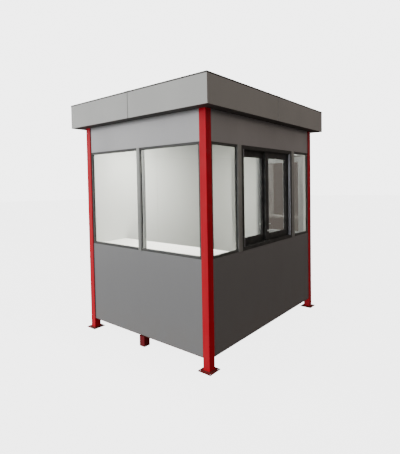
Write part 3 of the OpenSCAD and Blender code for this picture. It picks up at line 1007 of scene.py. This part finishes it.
@dataclass
class Fittings:
    """The small pieces of one sub-assembly, and what every sub-assembly's pieces share."""

    bench: Bench
    frame: dict
    bite: float = 0.0075
    rubber: float = 0.003
    lip: float = 0.004

    def solids(self, node: str) -> list[Box]:
        """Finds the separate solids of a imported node.

        Args:
            node: The node's name.

        Returns:
            Each solid's box, in order of lowest corner.
        """
        mesh = self.frame["nodes"][node].data
        keys = [tuple(round(c, 5) for c in vertex.co) for vertex in mesh.vertices]
        root: dict[tuple, tuple] = {key: key for key in keys}

        def find(key: tuple) -> tuple:
            """Follows a point to the one that stands for its solid.

            Args:
                key: The point.

            Returns:
                The point that stands for its solid.
            """
            while root[key] != key:
                root[key] = root[root[key]]
                key = root[key]
            return key

        for face in mesh.polygons:
            first, *others = (find(keys[i]) for i in face.vertices)
            for other in others:
                root[find(other)] = find(first)
        groups: dict[tuple, list[tuple]] = {}
        for key in root:
            groups.setdefault(find(key), []).append(key)
        boxes = [extent(*zip(*points)) for points in groups.values()]
        return sorted(boxes, key=lambda box: tuple(box.low))

    def gaskets(self, node: str, name: str, slot: str, body: str = "booth") -> None:
        """Puts a rubber gasket on both faces of each pane of a node.

        Args:
            node: The panes' node.
            name: The piece's name.
            slot: The record's slot.
            body: The body it rides on.
        """
        rings = []
        for pane in self.solids(node):
            axis = pane.thin()
            seen = pane.shrunk(self.bite, axis)
            for face, out in ((pane.low[axis], -self.rubber), (pane.high[axis], self.rubber)):
                rings.append(self.bench.ring(seen.layer(axis, face, face + out), self.lip, EDGE))
        self.bench.hand_over(rings, name, "rubber", slot, body)


# ---- Base and posts ----------------------------------------------------------------------


@dataclass
class PostFittings(Fittings):
    """Welds at the foot of each post, and the sealant between posts and sheets."""

    bead: float = 0.0042
    pitch: float = 0.0046
    swing: float = 0.5
    beat: float = 7.0
    sealant: float = 0.006
    sunk: float = 0.001
    proud: float = 0.003
    slack: float = 1e-3

    def build(self) -> None:
        """Builds all of it."""
        self.welds()
        self.seals()

    def ripple(self) -> Piece:
        """Shapes one ripple of a weld, a little flattened.

        Returns:
            The ripple, at the origin.
        """
        self.bench.clear()
        bpy.ops.mesh.primitive_uv_sphere_add(segments=8, ring_count=5, radius=self.bead)
        thing = bpy.context.object
        thing.scale = (0.9, 1.0, 0.95)
        return self.bench.settle(thing)

    def welds(self) -> None:
        """Runs a rippled bead round each post where it meets its plate."""
        top = cad("base_plates").high.z
        places = []
        for post in self.solids("corner_posts"):
            for axis in (0, 1):
                count = int((post.high[axis] - post.low[axis]) / self.pitch)
                for level in (post.low[1 - axis], post.high[1 - axis]):
                    for i, run in enumerate(steps(post.low[axis], post.high[axis], count)):
                        spot = Vector((0.0, 0.0, top))
                        spot[axis], spot[1 - axis] = run, level
                        turn = Matrix.Rotation(self.swing * math.sin(self.beat * i), 4, "Z")
                        places.append(Matrix.Translation(spot) @ turn)
        self.bench.hand_over([self.bench.spread(self.ripple(), places)], "post_welds",
                             "weld_steel", "plate_steel", smooth=math.radians(80.0))

    def seals(self) -> None:
        """Lays a bead of sealant in the corner between each post and sheet."""
        strips = []
        inner = [side - POST_SIDE for side in cad("corner_posts").high]
        for node, axis in (("front_cladding", 0), ("right_cladding", 1), ("left_cladding", 1),
                           ("back_header", 0)):
            for sheet in self.solids(node):
                thin = sheet.thin()
                outward = 1.0 if sheet.centre()[thin] > 0.0 else -1.0
                face = sheet.high[thin] if outward > 0.0 else sheet.low[thin]
                for side, edge in ((1.0, sheet.low[axis]), (-1.0, sheet.high[axis])):
                    if abs(abs(edge) - inner[axis]) > self.slack:
                        continue
                    strip = sheet.layer(axis, edge, edge + side * self.sealant)
                    strip = strip.layer(thin, face - outward * self.sunk,
                                        face + outward * self.proud)
                    strips.append(self.bench.block(strip, 0.0015))
        self.bench.hand_over(strips, "sheet_sealant", "sealant", "window_dark")


# ---- Fascia and roof ---------------------------------------------------------------------


@dataclass
class RoofFittings(Fittings):
    """Fascia seams, cap joint covers, roof screws, roof sealant and cap rivets."""

    seam: float = 0.003
    seam_depth: float = 0.004
    seam_top: float = 0.010
    cover: float = 0.09
    cover_lap: float = 0.012
    cover_lift: float = 0.0016
    cover_sunk: float = 0.0004
    ribs: int = 9
    screw_rows: int = 5
    screw_end: float = 0.12
    fillet: float = 0.012
    fillet_rise: float = 0.002
    rivets: int = 8
    rivet_end: float = 0.08
    rivet_drop: float = 0.007

    def build(self) -> None:
        """Builds all of it."""
        self.seams()
        self.covers()
        self.screws()
        self.sealant()
        self.lip_rivets()

    def seams(self) -> None:
        """Fills the fascia's four open joints, a little below the face."""
        sheet = cad("fascia_front_right")
        edge = cad("fascia_back_right").high
        gap = (-self.seam, self.seam)
        joint = extent(gap, gap, (sheet.low.z, sheet.high.z - self.seam_top))
        strips = []
        for across, level in ((1, edge.y), (1, -edge.y), (0, edge.x), (0, -edge.x)):
            inward = math.copysign(self.seam_depth, -level)
            strips.append(self.bench.block(
                joint.layer(across, level + inward * 0.25, level + inward), FINE_EDGE))
        self.bench.hand_over(strips, "fascia_seams", "sealant", "fascia")

    def covers(self) -> None:
        """Covers the cap's joint in the middle of each side."""
        cap, liner = cad("parapet_cap").high, cad("parapet_liner").high
        run = (-self.cover / 2, self.cover / 2)
        cover = extent(run, run, (cap.z - self.cover_sunk, cap.z + self.cover_lift))
        plates = [self.bench.block(cover.layer(across, sign * (liner[across] - self.cover_lap),
                                               sign * cap[across]), FINE_EDGE)
                  for across in (1, 0) for sign in (-1.0, 1.0)]
        self.bench.hand_over(plates, "cap_joint_covers", "cap_dark", "cap_dark")

    def screws(self) -> None:
        """Fixes each rib of the roof sheet with washered screws."""
        deck = cad("roof_deck")
        span = cad("corner_posts").high.x - POST_SIDE
        pitch = 2.0 * span / self.ribs
        head = self.bench.screw(0.0055, 0.005)
        washer = self.bench.rod((0.0, 0.0, 0.0008), 0.0095, 0.0016, 2, 0.0005, 16)
        places = [Matrix.Translation((-span + (i + 0.5) * pitch, y, deck.high.z))
                  for i in range(self.ribs)
                  for y in steps(deck.low.y + self.screw_end, deck.high.y - self.screw_end,
                                 self.screw_rows)]
        first = self.bench.joined([head, washer])
        self.bench.hand_over([self.bench.spread(first, places)], "roof_screws", "bright_zinc",
                             "roof_sheet")

    def sealant(self) -> None:
        """Runs a fillet of sealant between the roof sheet and the liner."""
        level = cad("parapet_liner").low.z + self.fillet_rise
        box = cad("roof_deck").layer(2, level, level + self.fillet)
        self.bench.hand_over([self.bench.ring(box, self.fillet, 0.003)], "roof_sealant",
                             "sealant_grey", "roof_sheet")

    def lip_rivets(self) -> None:
        """Rivets the turned-down edge of the cap to the fascia."""
        edge = cad("parapet_cap").high
        first = self.bench.rod((0.0, 0.0, 0.0004), 0.0022, 0.0014, 2, 0.0005, 10)
        places = []
        for axis, across in ((0, 1), (1, 0)):
            reach = edge[axis] - self.rivet_end
            for run in steps(-reach, reach, self.rivets):
                for sign in (-1.0, 1.0):
                    spot = Vector((0.0, 0.0, edge.z - self.rivet_drop))
                    normal = Vector((0.0, 0.0, 0.0))
                    spot[axis], spot[across], normal[across] = run, sign * edge[across], sign
                    places.append(facing(spot, normal))
        self.bench.hand_over([self.bench.spread(first, places)], "cap_rivets", "cap_dark",
                             "cap_dark")


# ---- Windows -----------------------------------------------------------------------------


@dataclass
class WindowFittings(Fittings):
    """Gaskets of the fixed panes, and the caps and beads of the mullions."""

    proud: float = 0.003
    margin: float = 0.003
    rib: float = 0.001
    rib_in: float = 0.006
    bead_end: float = 0.024

    def build(self) -> None:
        """Builds all of it."""
        self.gaskets("window_glass", "window_gaskets", "window_dark")
        self.caps()
        self.side_beads()

    def caps(self) -> None:
        """Snaps a face cap with two fine ribs over each mullion."""
        strips, ribs = [], []
        for post in self.solids("mullions"):
            front = post.low.y < FRONT_LINE
            axis, out, outer = (1, -1.0, post.low.y) if front else (0, 1.0, post.high.x)
            wide = 1 - axis
            seen = post.layer(wide, post.low[wide] + self.margin, post.high[wide] - self.margin)
            strips.append(self.bench.block(
                seen.layer(axis, outer, outer + out * self.proud), 0.0012))
            for at in (seen.low[wide] + self.rib_in, seen.high[wide] - self.rib_in):
                rib = seen.layer(wide, at - self.rib, at + self.rib)
                rib = rib.layer(axis, outer + out * 0.002, outer + out * (self.proud + self.rib))
                ribs.append(self.bench.block(rib, FINE_EDGE))
        self.bench.hand_over(strips + ribs, "mullion_caps", "mullion_silver", "mullion_silver")

    def side_beads(self) -> None:
        """Runs pale glazing beads up each side of the front mullion, behind the glass."""
        post, glass = (next(box for box in self.solids(node) if box.low.y < FRONT_LINE)
                       for node in ("mullions", "window_glass"))
        upright = (post.low.z + self.bead_end, post.high.z - self.bead_end)
        runs = ((glass.high.y + 0.004, glass.high.y + 0.012),
                (post.high.y - 0.008, post.high.y - 0.001))
        strips = [self.bench.block(extent((edge, edge + out), run, upright), EDGE)
                  for edge, out in ((post.low.x, -0.003), (post.high.x, 0.003))
                  for run in runs]
        self.bench.hand_over(strips, "mullion_beads", "mullion_silver", "mullion_silver")


@dataclass
class SliderFittings(Fittings):
    """Gaskets, tracks, jamb strips, brushes, interlock and pulls of the sliding window."""

    face: float = 0.035
    fin: float = 0.0016
    fin_height: float = 0.006
    jamb_reach: float = 0.009
    jamb_depth: float = 0.005
    brush_reach: float = 0.007
    brush: float = 0.002
    pull_in: float = 0.0325
    pull_half: float = 0.014
    pull_depth: float = 0.002
    pull_run: Range = (1.46, 1.58)

    def build(self) -> None:
        """Builds all of it."""
        self.gaskets("slider_glass", "slider_gaskets", "slider_black")
        self.tracks()
        self.brushes()
        self.interlock()
        self.finger_pulls()
        self.pull_rim()

    def opening(self) -> Box:
        """The clear opening inside the outer frame."""
        return cad("slider_frame").shrunk(self.face, 0)

    def tracks(self) -> None:
        """Stands dark track fins round the outer frame, and strips up its jambs whose near-white
        colour is a painted reflection.
        """
        clear = self.opening()
        outer = cad("slider_frame").high.x
        fins = [self.bench.ring(clear.layer(0, at, at + self.fin), self.fin_height, HAIR_EDGE)
                for at in (outer - 0.010, outer - 0.022, cad("slider_sashes").high.x + 0.003)]
        self.bench.hand_over(fins, "slider_tracks", "slider_black", "slider_black")
        # The jamb strips' near-white, blue-tinted colour is a painted reflection.
        strips = [self.bench.block(clear.layer(1, side, side + reach)
                                   .layer(0, outer - at, outer - at + self.jamb_depth),
                                   FINE_EDGE)
                  for at in (0.008, 0.024)
                  for side, reach in ((clear.low.y, self.jamb_reach),
                                      (clear.high.y, -self.jamb_reach))]
        self.bench.hand_over(strips, "slider_jamb_strips", "aluminium_painted_reflection", "slider_black")

    def brushes(self) -> None:
        """Lays brush seals up the stiles, where a sash meets the frame."""
        strips = []
        clear = self.opening()
        for sash in self.sashes():
            left = sash.centre().y < 0.0
            at, out = (clear.low.y, 1.0) if left else (clear.high.y, -1.0)
            for face, step in ((sash.high.x, self.brush), (sash.low.x, -self.brush)):
                strip = clear.layer(1, at, at + out * self.brush_reach)
                strips.append(self.bench.block(
                    strip.layer(0, face + step * 0.2, face + step), 0.0005))
        self.bench.hand_over(strips, "slider_brushes", "brush", "slider_black")

    def sashes(self) -> list[Box]:
        """Finds the overall box of each sash.

        Returns:
            The inner sash's box and the outer one's.
        """
        bars = self.solids("slider_sashes")
        split = sum(bar.centre().x for bar in bars) / len(bars)
        return [round_all([bar for bar in bars if (bar.centre().x > split) == outer])
                for outer in (False, True)]

    def interlock(self) -> None:
        """Stands a hooked interlock on the outer sash's meeting stile."""
        sash = self.sashes()[1]
        upright = (sash.low.z + 0.01, sash.high.z - 0.01)
        web = extent((sash.high.x, sash.high.x + 0.0015),
                     (sash.low.y + 0.002, sash.low.y + 0.012), upright)
        hook = extent((sash.low.x - 0.0032, sash.low.x),
                      (sash.low.y + 0.004, sash.low.y + 0.006), upright)
        self.bench.hand_over([self.bench.block(box, FINE_EDGE) for box in (web, hook)],
                             "sash_interlock", "slider_black", "slider_black")

    def finger_pulls(self) -> None:
        """Lets a flush finger pull into the outer stile of each sash, on its inner face."""
        inner, outer = self.sashes()
        pulls = []
        for face, middle in ((inner.low.x, inner.low.y + self.pull_in),
                             (outer.low.x, outer.high.y - self.pull_in)):
            box = extent((face - self.pull_depth, face),
                         (middle - self.pull_half, middle + self.pull_half), self.pull_run)
            pulls.append(self.bench.ring(box, self.lip, EDGE))
        self.bench.hand_over(pulls, "sash_finger_pulls", "moulded_black", "slider_black")

    def pull_rim(self) -> None:
        """Gives the round pull a rim and a screw."""
        pull = cad("sash_pull")
        middle, face = pull.centre(), pull.high.x
        rim = self.bench.rod((face + 0.0008, middle.y, middle.z), 0.0105, 0.0022, 0, 0.001)
        cap = self.bench.screw(0.0032, 0.0018)
        cap.data.transform(facing((face + 0.0018, middle.y, middle.z), (1.0, 0.0, 0.0)))
        self.bench.hand_over([rim, cap], "sash_pull_rim", "pull_white", "pull_white")


# ---- Door --------------------------------------------------------------------------------


@dataclass
class DoorFittings(Fittings):
    """Gaskets, beads, levers, lock, hinge screws, seals, threshold and strike of the door."""

    plate: Point = (0.030, 0.170, 0.006)
    backset: float = 0.025
    key_drop: float = 0.055
    reach: float = 0.112
    neck: float = 0.0085
    hinge_face: float = 1.095
    hinge_leaf: float = 0.05
    hinge_end: float = 0.012
    grips: int = 6
    jamb: float = 0.030

    def build(self) -> None:
        """Builds all of it."""
        self.gaskets("door_glass", "door_gaskets", "door_aluminium", "door")
        self.beads()
        self.handles()
        self.hinge_screws()
        self.stop_seals()
        self.threshold()
        self.strike()

    def beads(self) -> None:
        """Frames the glass and the lower panel with raised beads on both faces."""
        rings = []
        for pane in (cad("door_glass"), cad("door_panel")):
            seen = pane.shrunk(self.bite, 1)
            for face, out in ((pane.low.y - self.rubber, -0.007),
                              (pane.high.y + self.rubber, 0.007)):
                rings.append(self.bench.ring(seen.layer(1, face, face + out), 0.010, 0.002))
        self.bench.hand_over(rings, "door_beads", "door_aluminium", "door_aluminium", "door")

    def handles(self) -> None:
        """Shapes a lever handle with its plate and lock cylinder on each face of the leaf."""
        old, leaf = cad("door_handles"), cad("door_leaf_frame")
        x, z = leaf.low.x + self.backset, (old.low.z + old.high.z) / 2
        wide, tall, deep = self.plate
        steel, dark = [], []
        for face, out in ((leaf.low.y, -1.0), (leaf.high.y, 1.0)):
            plate = extent((x - wide / 2, x + wide / 2), (face, face + out * deep),
                           (z - tall / 2, z + tall / 2))
            steel.append(self.bench.block(plate, 0.0028, 4))
            steel.append(self.bench.rod((x, face + out * 0.010, z), 0.013, 0.010, 1, 0.002, 32))
            steel.append(self.bench.rod((x, face + out * 0.025, z), self.neck, 0.036, 1, 0.001))
            steel.append(self.lever(x, face + out * 0.038, z))
            steel.append(self.bench.rod((x, face + out * 0.008, z - self.key_drop), 0.0085,
                                        0.009, 1, EDGE, 32))
            slot = extent((x - 0.0008, x + 0.0008), (face + out * 0.0121, face + out * 0.0128),
                          (z - self.key_drop - 0.004, z - self.key_drop + 0.004))
            dark.append(self.bench.block(slot, 0.0002))
            dark.append(self.bench.spread(self.bench.screw(0.0035, 0.0018), [
                facing((x, face + out * deep, z + side), (0.0, out, 0.0))
                for side in (-0.075, 0.075)]))
        levers = self.bench.hand_over(steel, "door_levers", "hardware", "hardware", "door")
        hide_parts("door_handles")
        self.bench.hand_over(dark, "door_lock_details", "dark_steel", "hardware", "door")

    def lever(self, x: float, y: float, z: float) -> Piece:
        """Shapes one lever: a bar drawn out towards the hinges, tapered and rounded.

        Args:
            x: Where its neck is.
            y: Its middle, across the door.
            z: Its height.

        Returns:
            The lever.
        """
        thing = self.bench.slab((x, y, z), (0.018, 0.013, 0.018))
        for run, narrow in ((0.030, 0.92), (0.040, 0.9), (self.reach - 0.079, 0.85)):
            self.bench.pick_faces(thing, 0, (1,))
            bpy.ops.mesh.extrude_region_move(
                TRANSFORM_OT_translate={"value": (run, 0.0, 0.0)})
            bpy.ops.transform.resize(value=(1.0, narrow, narrow))
            self.bench.leave()
        self.bench.edit()
        self.bench.ease_sharp(math.radians(30.0), 0.003, 3)
        return thing

    def hinge_screws(self) -> None:
        """Puts four screws in each hinge leaf."""
        for node, body, name, side in (
                ("door_hinge_pins", "booth", "hinge_frame_screws", 1.0),
                ("door_hinge_knuckles", "door", "hinge_leaf_screws", -1.0)):
            places = []
            for hinge in self.solids(node):
                edge = hinge.high.x if side > 0.0 else hinge.low.x
                top = hinge.high.z if body == "door" else hinge.low.z + self.hinge_leaf
                places += [facing((edge - side * run, self.hinge_face, z), (0.0, 1.0, 0.0))
                           for run in (0.006, 0.014)
                           for z in (hinge.low.z + self.hinge_end, top - self.hinge_end)]
            self.bench.hand_over([self.bench.spread(self.bench.screw(0.0036, 0.0016), places)],
                                 name, "dark_steel", "hardware", body)

    def stop_seals(self) -> None:
        """Sticks a bubble gasket to the side stops, facing the leaf."""
        leaf, outer = cad("door_leaf_frame"), cad("door_frame")
        strips = [self.bench.block(extent((x + 0.002, x + 0.010),
                                          (leaf.low.y - 0.0055, leaf.low.y - 0.0012),
                                          (leaf.low.z + 0.01, leaf.high.z - 0.002)), 0.0018, 3)
                  for x in (outer.low.x + self.jamb, outer.high.x - 0.042)]
        self.bench.hand_over(strips, "door_stop_seals", "rubber", "door_aluminium")

    def threshold(self) -> None:
        """Raises grip ribs along the threshold."""
        sill = cad("door_threshold")
        ribs = [self.bench.block(extent((sill.low.x + 0.004, sill.high.x - 0.004),
                                        (y - 0.0015, y + 0.0015),
                                        (sill.high.z - 0.0005, sill.high.z + 0.0015)), FINE_EDGE)
                for y in steps(sill.low.y + 0.012, sill.high.y - 0.012, self.grips)]
        self.bench.hand_over(ribs, "threshold_ribs", "hardware", "hardware")

    def strike(self) -> None:
        """Lets a strike plate into the latch jamb."""
        face = cad("door_frame").low.x + self.jamb
        leaf = cad("door_leaf_frame")
        level = cad("door_handles").low.z + 0.085
        plate = extent((face, face + 0.0015), (leaf.low.y + 0.008, leaf.high.y - 0.008),
                       (level - 0.07, level + 0.05))
        self.bench.hand_over([self.bench.ring(plate, 0.007, HAIR_EDGE)], "strike_plate",
                             "hardware", "hardware")


# ---- Inside ------------------------------------------------------------------------------


@dataclass
class RoomFittings(Fittings):
    """Ceiling trim, lining joints, light frame, counter edge and bracket screws."""

    trim: float = 0.014
    joint: float = 0.003
    joint_at: float = -0.07
    joint_proud: float = 0.0008
    light_lap: float = 0.012
    light_drop: float = 0.010
    band: float = 0.002

    def build(self) -> None:
        """Builds all of it."""
        self.cornice()
        self.joints()
        self.light_frame()
        self.counter_edge()
        self.bracket_screws()

    def room(self) -> Box:
        """Finds the space between the linings.

        Returns:
            Its box.
        """
        left = cad("left_lining")
        return extent((left.high.x, cad("right_lining").low.x),
                      (cad("front_lining").high.y, cad("back_lining").low.y),
                      (left.low.z, left.high.z))

    def cornice(self) -> None:
        """Runs a small trim round the top of the walls."""
        room = self.room()
        box = room.layer(2, room.high.z - self.trim, room.high.z)
        self.bench.hand_over([self.bench.ring(box, self.trim, 0.003)], "ceiling_trim", "lining",
                             "lining")

    def joints(self) -> None:
        """Fills the joints of the wall linings, just proud of the boards."""
        room = self.room()
        head, half = cad("mullions").high.z, self.joint / 2
        face = (room.low.x, room.low.x + self.joint_proud)
        level = (head - half, head + half)
        boxes = (extent(face, (self.joint_at - half, self.joint_at + half),
                        (room.low.z, room.high.z - self.trim)),
                 extent(face, (room.low.y, room.high.y), level),
                 extent((room.low.x, cad("door_frame").low.x),
                        (room.high.y - self.joint_proud, room.high.y), level))
        self.bench.hand_over([self.bench.block(box, 0.0003) for box in boxes], "lining_joints",
                             "joint_grey", "lining")

    def light_frame(self) -> None:
        """Frames the ceiling light."""
        light = cad("ceiling_light").shrunk(-self.light_lap, 2)
        box = light.layer(2, light.high.z - self.light_drop, light.high.z)
        self.bench.hand_over([self.bench.ring(box, self.light_lap, 0.002)],
                             "ceiling_light_frame", "lining", "lamp")

    def counter_edge(self) -> None:
        """Bands the counter's edge that faces the room."""
        top = cad("counter_top")
        box = extent((top.low.x + 0.001, top.high.x - 0.001),
                     (top.high.y, top.high.y + self.band), (top.low.z, top.high.z))
        self.bench.hand_over([self.bench.block(box, 0.0009, 3)], "counter_edge_band",
                             "counter_white", "counter_white")

    def bracket_screws(self) -> None:
        """Screws each bracket to the wall and to the counter."""
        whole = cad("counter_brackets")
        places = []
        for bracket in self.solids("counter_brackets"):
            for x in (bracket.centre().x - 0.013, bracket.centre().x + 0.013):
                places += [facing((x, bracket.low.y + 0.005, z), (0.0, 1.0, 0.0))
                           for z in (whole.high.z - 0.05, whole.low.z + 0.03)]
                places += [facing((x, y, bracket.high.z - 0.005), (0.0, 0.0, -1.0))
                           for y in (bracket.low.y + 0.08, bracket.high.y - 0.03)]
        self.bench.hand_over([self.bench.spread(self.bench.screw(), places)], "bracket_screws",
                             "bright_zinc", "bracket_grey")


# ---- Studio ------------------------------------------------------------------------------


@dataclass
class Studio:
    """Floor, lights and camera."""

    place: Point = (2.910, -3.562, 1.6856)
    yaw: float = -0.6709
    pitch: float = -0.0360
    roll: float = -0.0164
    lens: float = 29.04105727
    sensor: float = 36.0
    shift: Range = (-0.026123348, -0.069008811)
    open_side: Point = (-0.62, -0.75, 0.22)
    side_turn: Range = (-0.5, 0.9)
    rise_turn: Range = (-0.2, 0.08)
    dim: float = 0.25
    bright: float = 1.42
    low_share: float = 0.36
    dim_colour: Colour = (1.0, 0.80, 0.68)
    through: float = 0.14
    seen: float = 4.6
    floor_radius: float = 40.0
    floor_glow: float = 4.0

    def camera(self) -> None:
        """Stands the camera at eye height off the front right corner."""
        data = bpy.data.cameras.new("camera")
        data.sensor_width, data.lens = self.sensor, self.lens
        data.shift_x, data.shift_y = self.shift
        ahead = Vector((math.sin(self.yaw) * math.cos(self.pitch),
                        math.cos(self.yaw) * math.cos(self.pitch), math.sin(self.pitch)))
        level = Vector((math.cos(self.yaw), -math.sin(self.yaw), 0.0))
        above = level.cross(ahead)
        right = math.cos(self.roll) * level + math.sin(self.roll) * above
        up = right.cross(ahead)
        turn = Matrix((right, up, -ahead)).transposed()
        thing = bpy.data.objects.new("camera", data)
        thing.matrix_world = Matrix.Translation(Vector(self.place)) @ turn.to_4x4()
        bpy.context.scene.collection.objects.link(thing)
        bpy.context.scene.camera = thing

    @staticmethod
    def light(name: str, kind: str, power: float, place: Matrix, **settings: object) -> None:
        """Hangs a light that is not seen itself.

        Args:
            name: The light's name.
            kind: The light's type.
            power: Watts.
            place: Where it is and how it is turned.
            settings: Its other properties.
        """
        data = bpy.data.lights.new(name, kind)
        data.energy = power
        for key, value in settings.items():
            setattr(data, key, value)
        thing = bpy.data.objects.new(name, data)
        thing.visible_camera = thing.visible_glossy = thing.visible_transmission = False
        thing.matrix_world = place
        bpy.context.scene.collection.objects.link(thing)

    def lamp(self, name: str, place: Point, target: Point, power: float, size: float,
             colour: Colour = WHITE) -> None:
        """Adds a square soft light.

        Args:
            name: The light's name.
            place: Where it is.
            target: Where it points.
            power: Watts.
            size: Side of the square.
            colour: Its colour.
        """
        aim = (Vector(target) - Vector(place)).to_track_quat("-Z", "Y").to_matrix().to_4x4()
        self.light(name, "AREA", power, Matrix.Translation(Vector(place)) @ aim, size=size,
                   color=colour)

    def world(self) -> None:
        """A pale backdrop, which lights the booth like a hall that is open on its front left."""
        made = bpy.data.worlds.new("studio")
        made.use_nodes = True
        s = Nodes(made.node_tree, "Generated")
        towards = s.node("ShaderNodeVectorMath", operation="DOT_PRODUCT")
        s.feed(towards.inputs[0], s.place)
        s.feed(towards.inputs[1], Vector(self.open_side).normalized())
        side = s.span(towards.outputs["Value"], *self.side_turn, self.dim, self.bright,
                      interpolation_type="SMOOTHSTEP")
        rise = s.span(s.height(), *self.rise_turn, self.low_share, 1.0)
        glow = s.times(side, rise)
        ray = s.node("ShaderNodeLightPath").outputs
        for kind, brightness in (("Is Transmission Ray", self.through),
                                 ("Is Camera Ray", self.seen)):
            glow = s.span(ray[kind], 0.0, 1.0, glow, brightness)
        backdrop = made.node_tree.nodes["Background"]
        s.feed(backdrop.inputs["Strength"], glow)
        s.feed(backdrop.inputs["Color"], s.mix(ray["Is Camera Ray"],
                                               s.mix(side, self.dim_colour, WHITE), WHITE))
        bpy.context.scene.world = made

    def floor(self) -> None:
        """A plain pale floor."""
        Bench.clear()
        bpy.ops.mesh.primitive_circle_add(vertices=64, radius=self.floor_radius,
                                          fill_type="NGON")
        plane = bpy.context.object
        plane.name = "studio_floor"
        s = Shading("studio_floor")
        base = s.mix(s.span(s.noise(0.4, 2.0), 0.3, 0.7), grey(0.30), grey(0.28))
        s.finish(Base_Color=base, Roughness=1.0, Specular_IOR_Level=0.0, Emission_Color=WHITE,
                 Emission_Strength=self.floor_glow)
        plane.data.materials.append(s.material)
        plane.visible_diffuse = plane.visible_glossy = plane.visible_transmission = False
        plane.visible_shadow = False

    def build(self) -> None:
        """Builds the whole studio."""
        self.camera()
        self.floor()
        self.world()
        self.lamp("key", (-7.5, -6.5, 3.2), (0.0, 0.0, 1.9), 470.0, 3.0)
        self.lamp("inside", (0.1, -0.6, 2.30), (0.1, -0.7, 0.0), 68.0, 0.5, (1.0, 0.98, 0.93))
        self.lamp("side", (0.70, -0.3, 1.75), (-0.9, -0.35, 1.55), 20.0, 0.5)
        self.light("room", "POINT", 10.0, Matrix.Translation((-0.42, -0.60, 2.0)),
                   shadow_soft_size=0.12)


def main() -> None:
    """Builds everything."""
    logging.basicConfig(level=logging.INFO, format="%(message)s")
    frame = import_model()
    bench = Bench(PackedFrame(frame).dress())
    for fittings in (PostFittings, RoofFittings, WindowFittings, SliderFittings, DoorFittings,
                     RoomFittings):
        fittings(bench, frame).build()
    log.info("made %d pieces", bench.made)
    Studio().build()


if __name__ == "__main__":
    main()
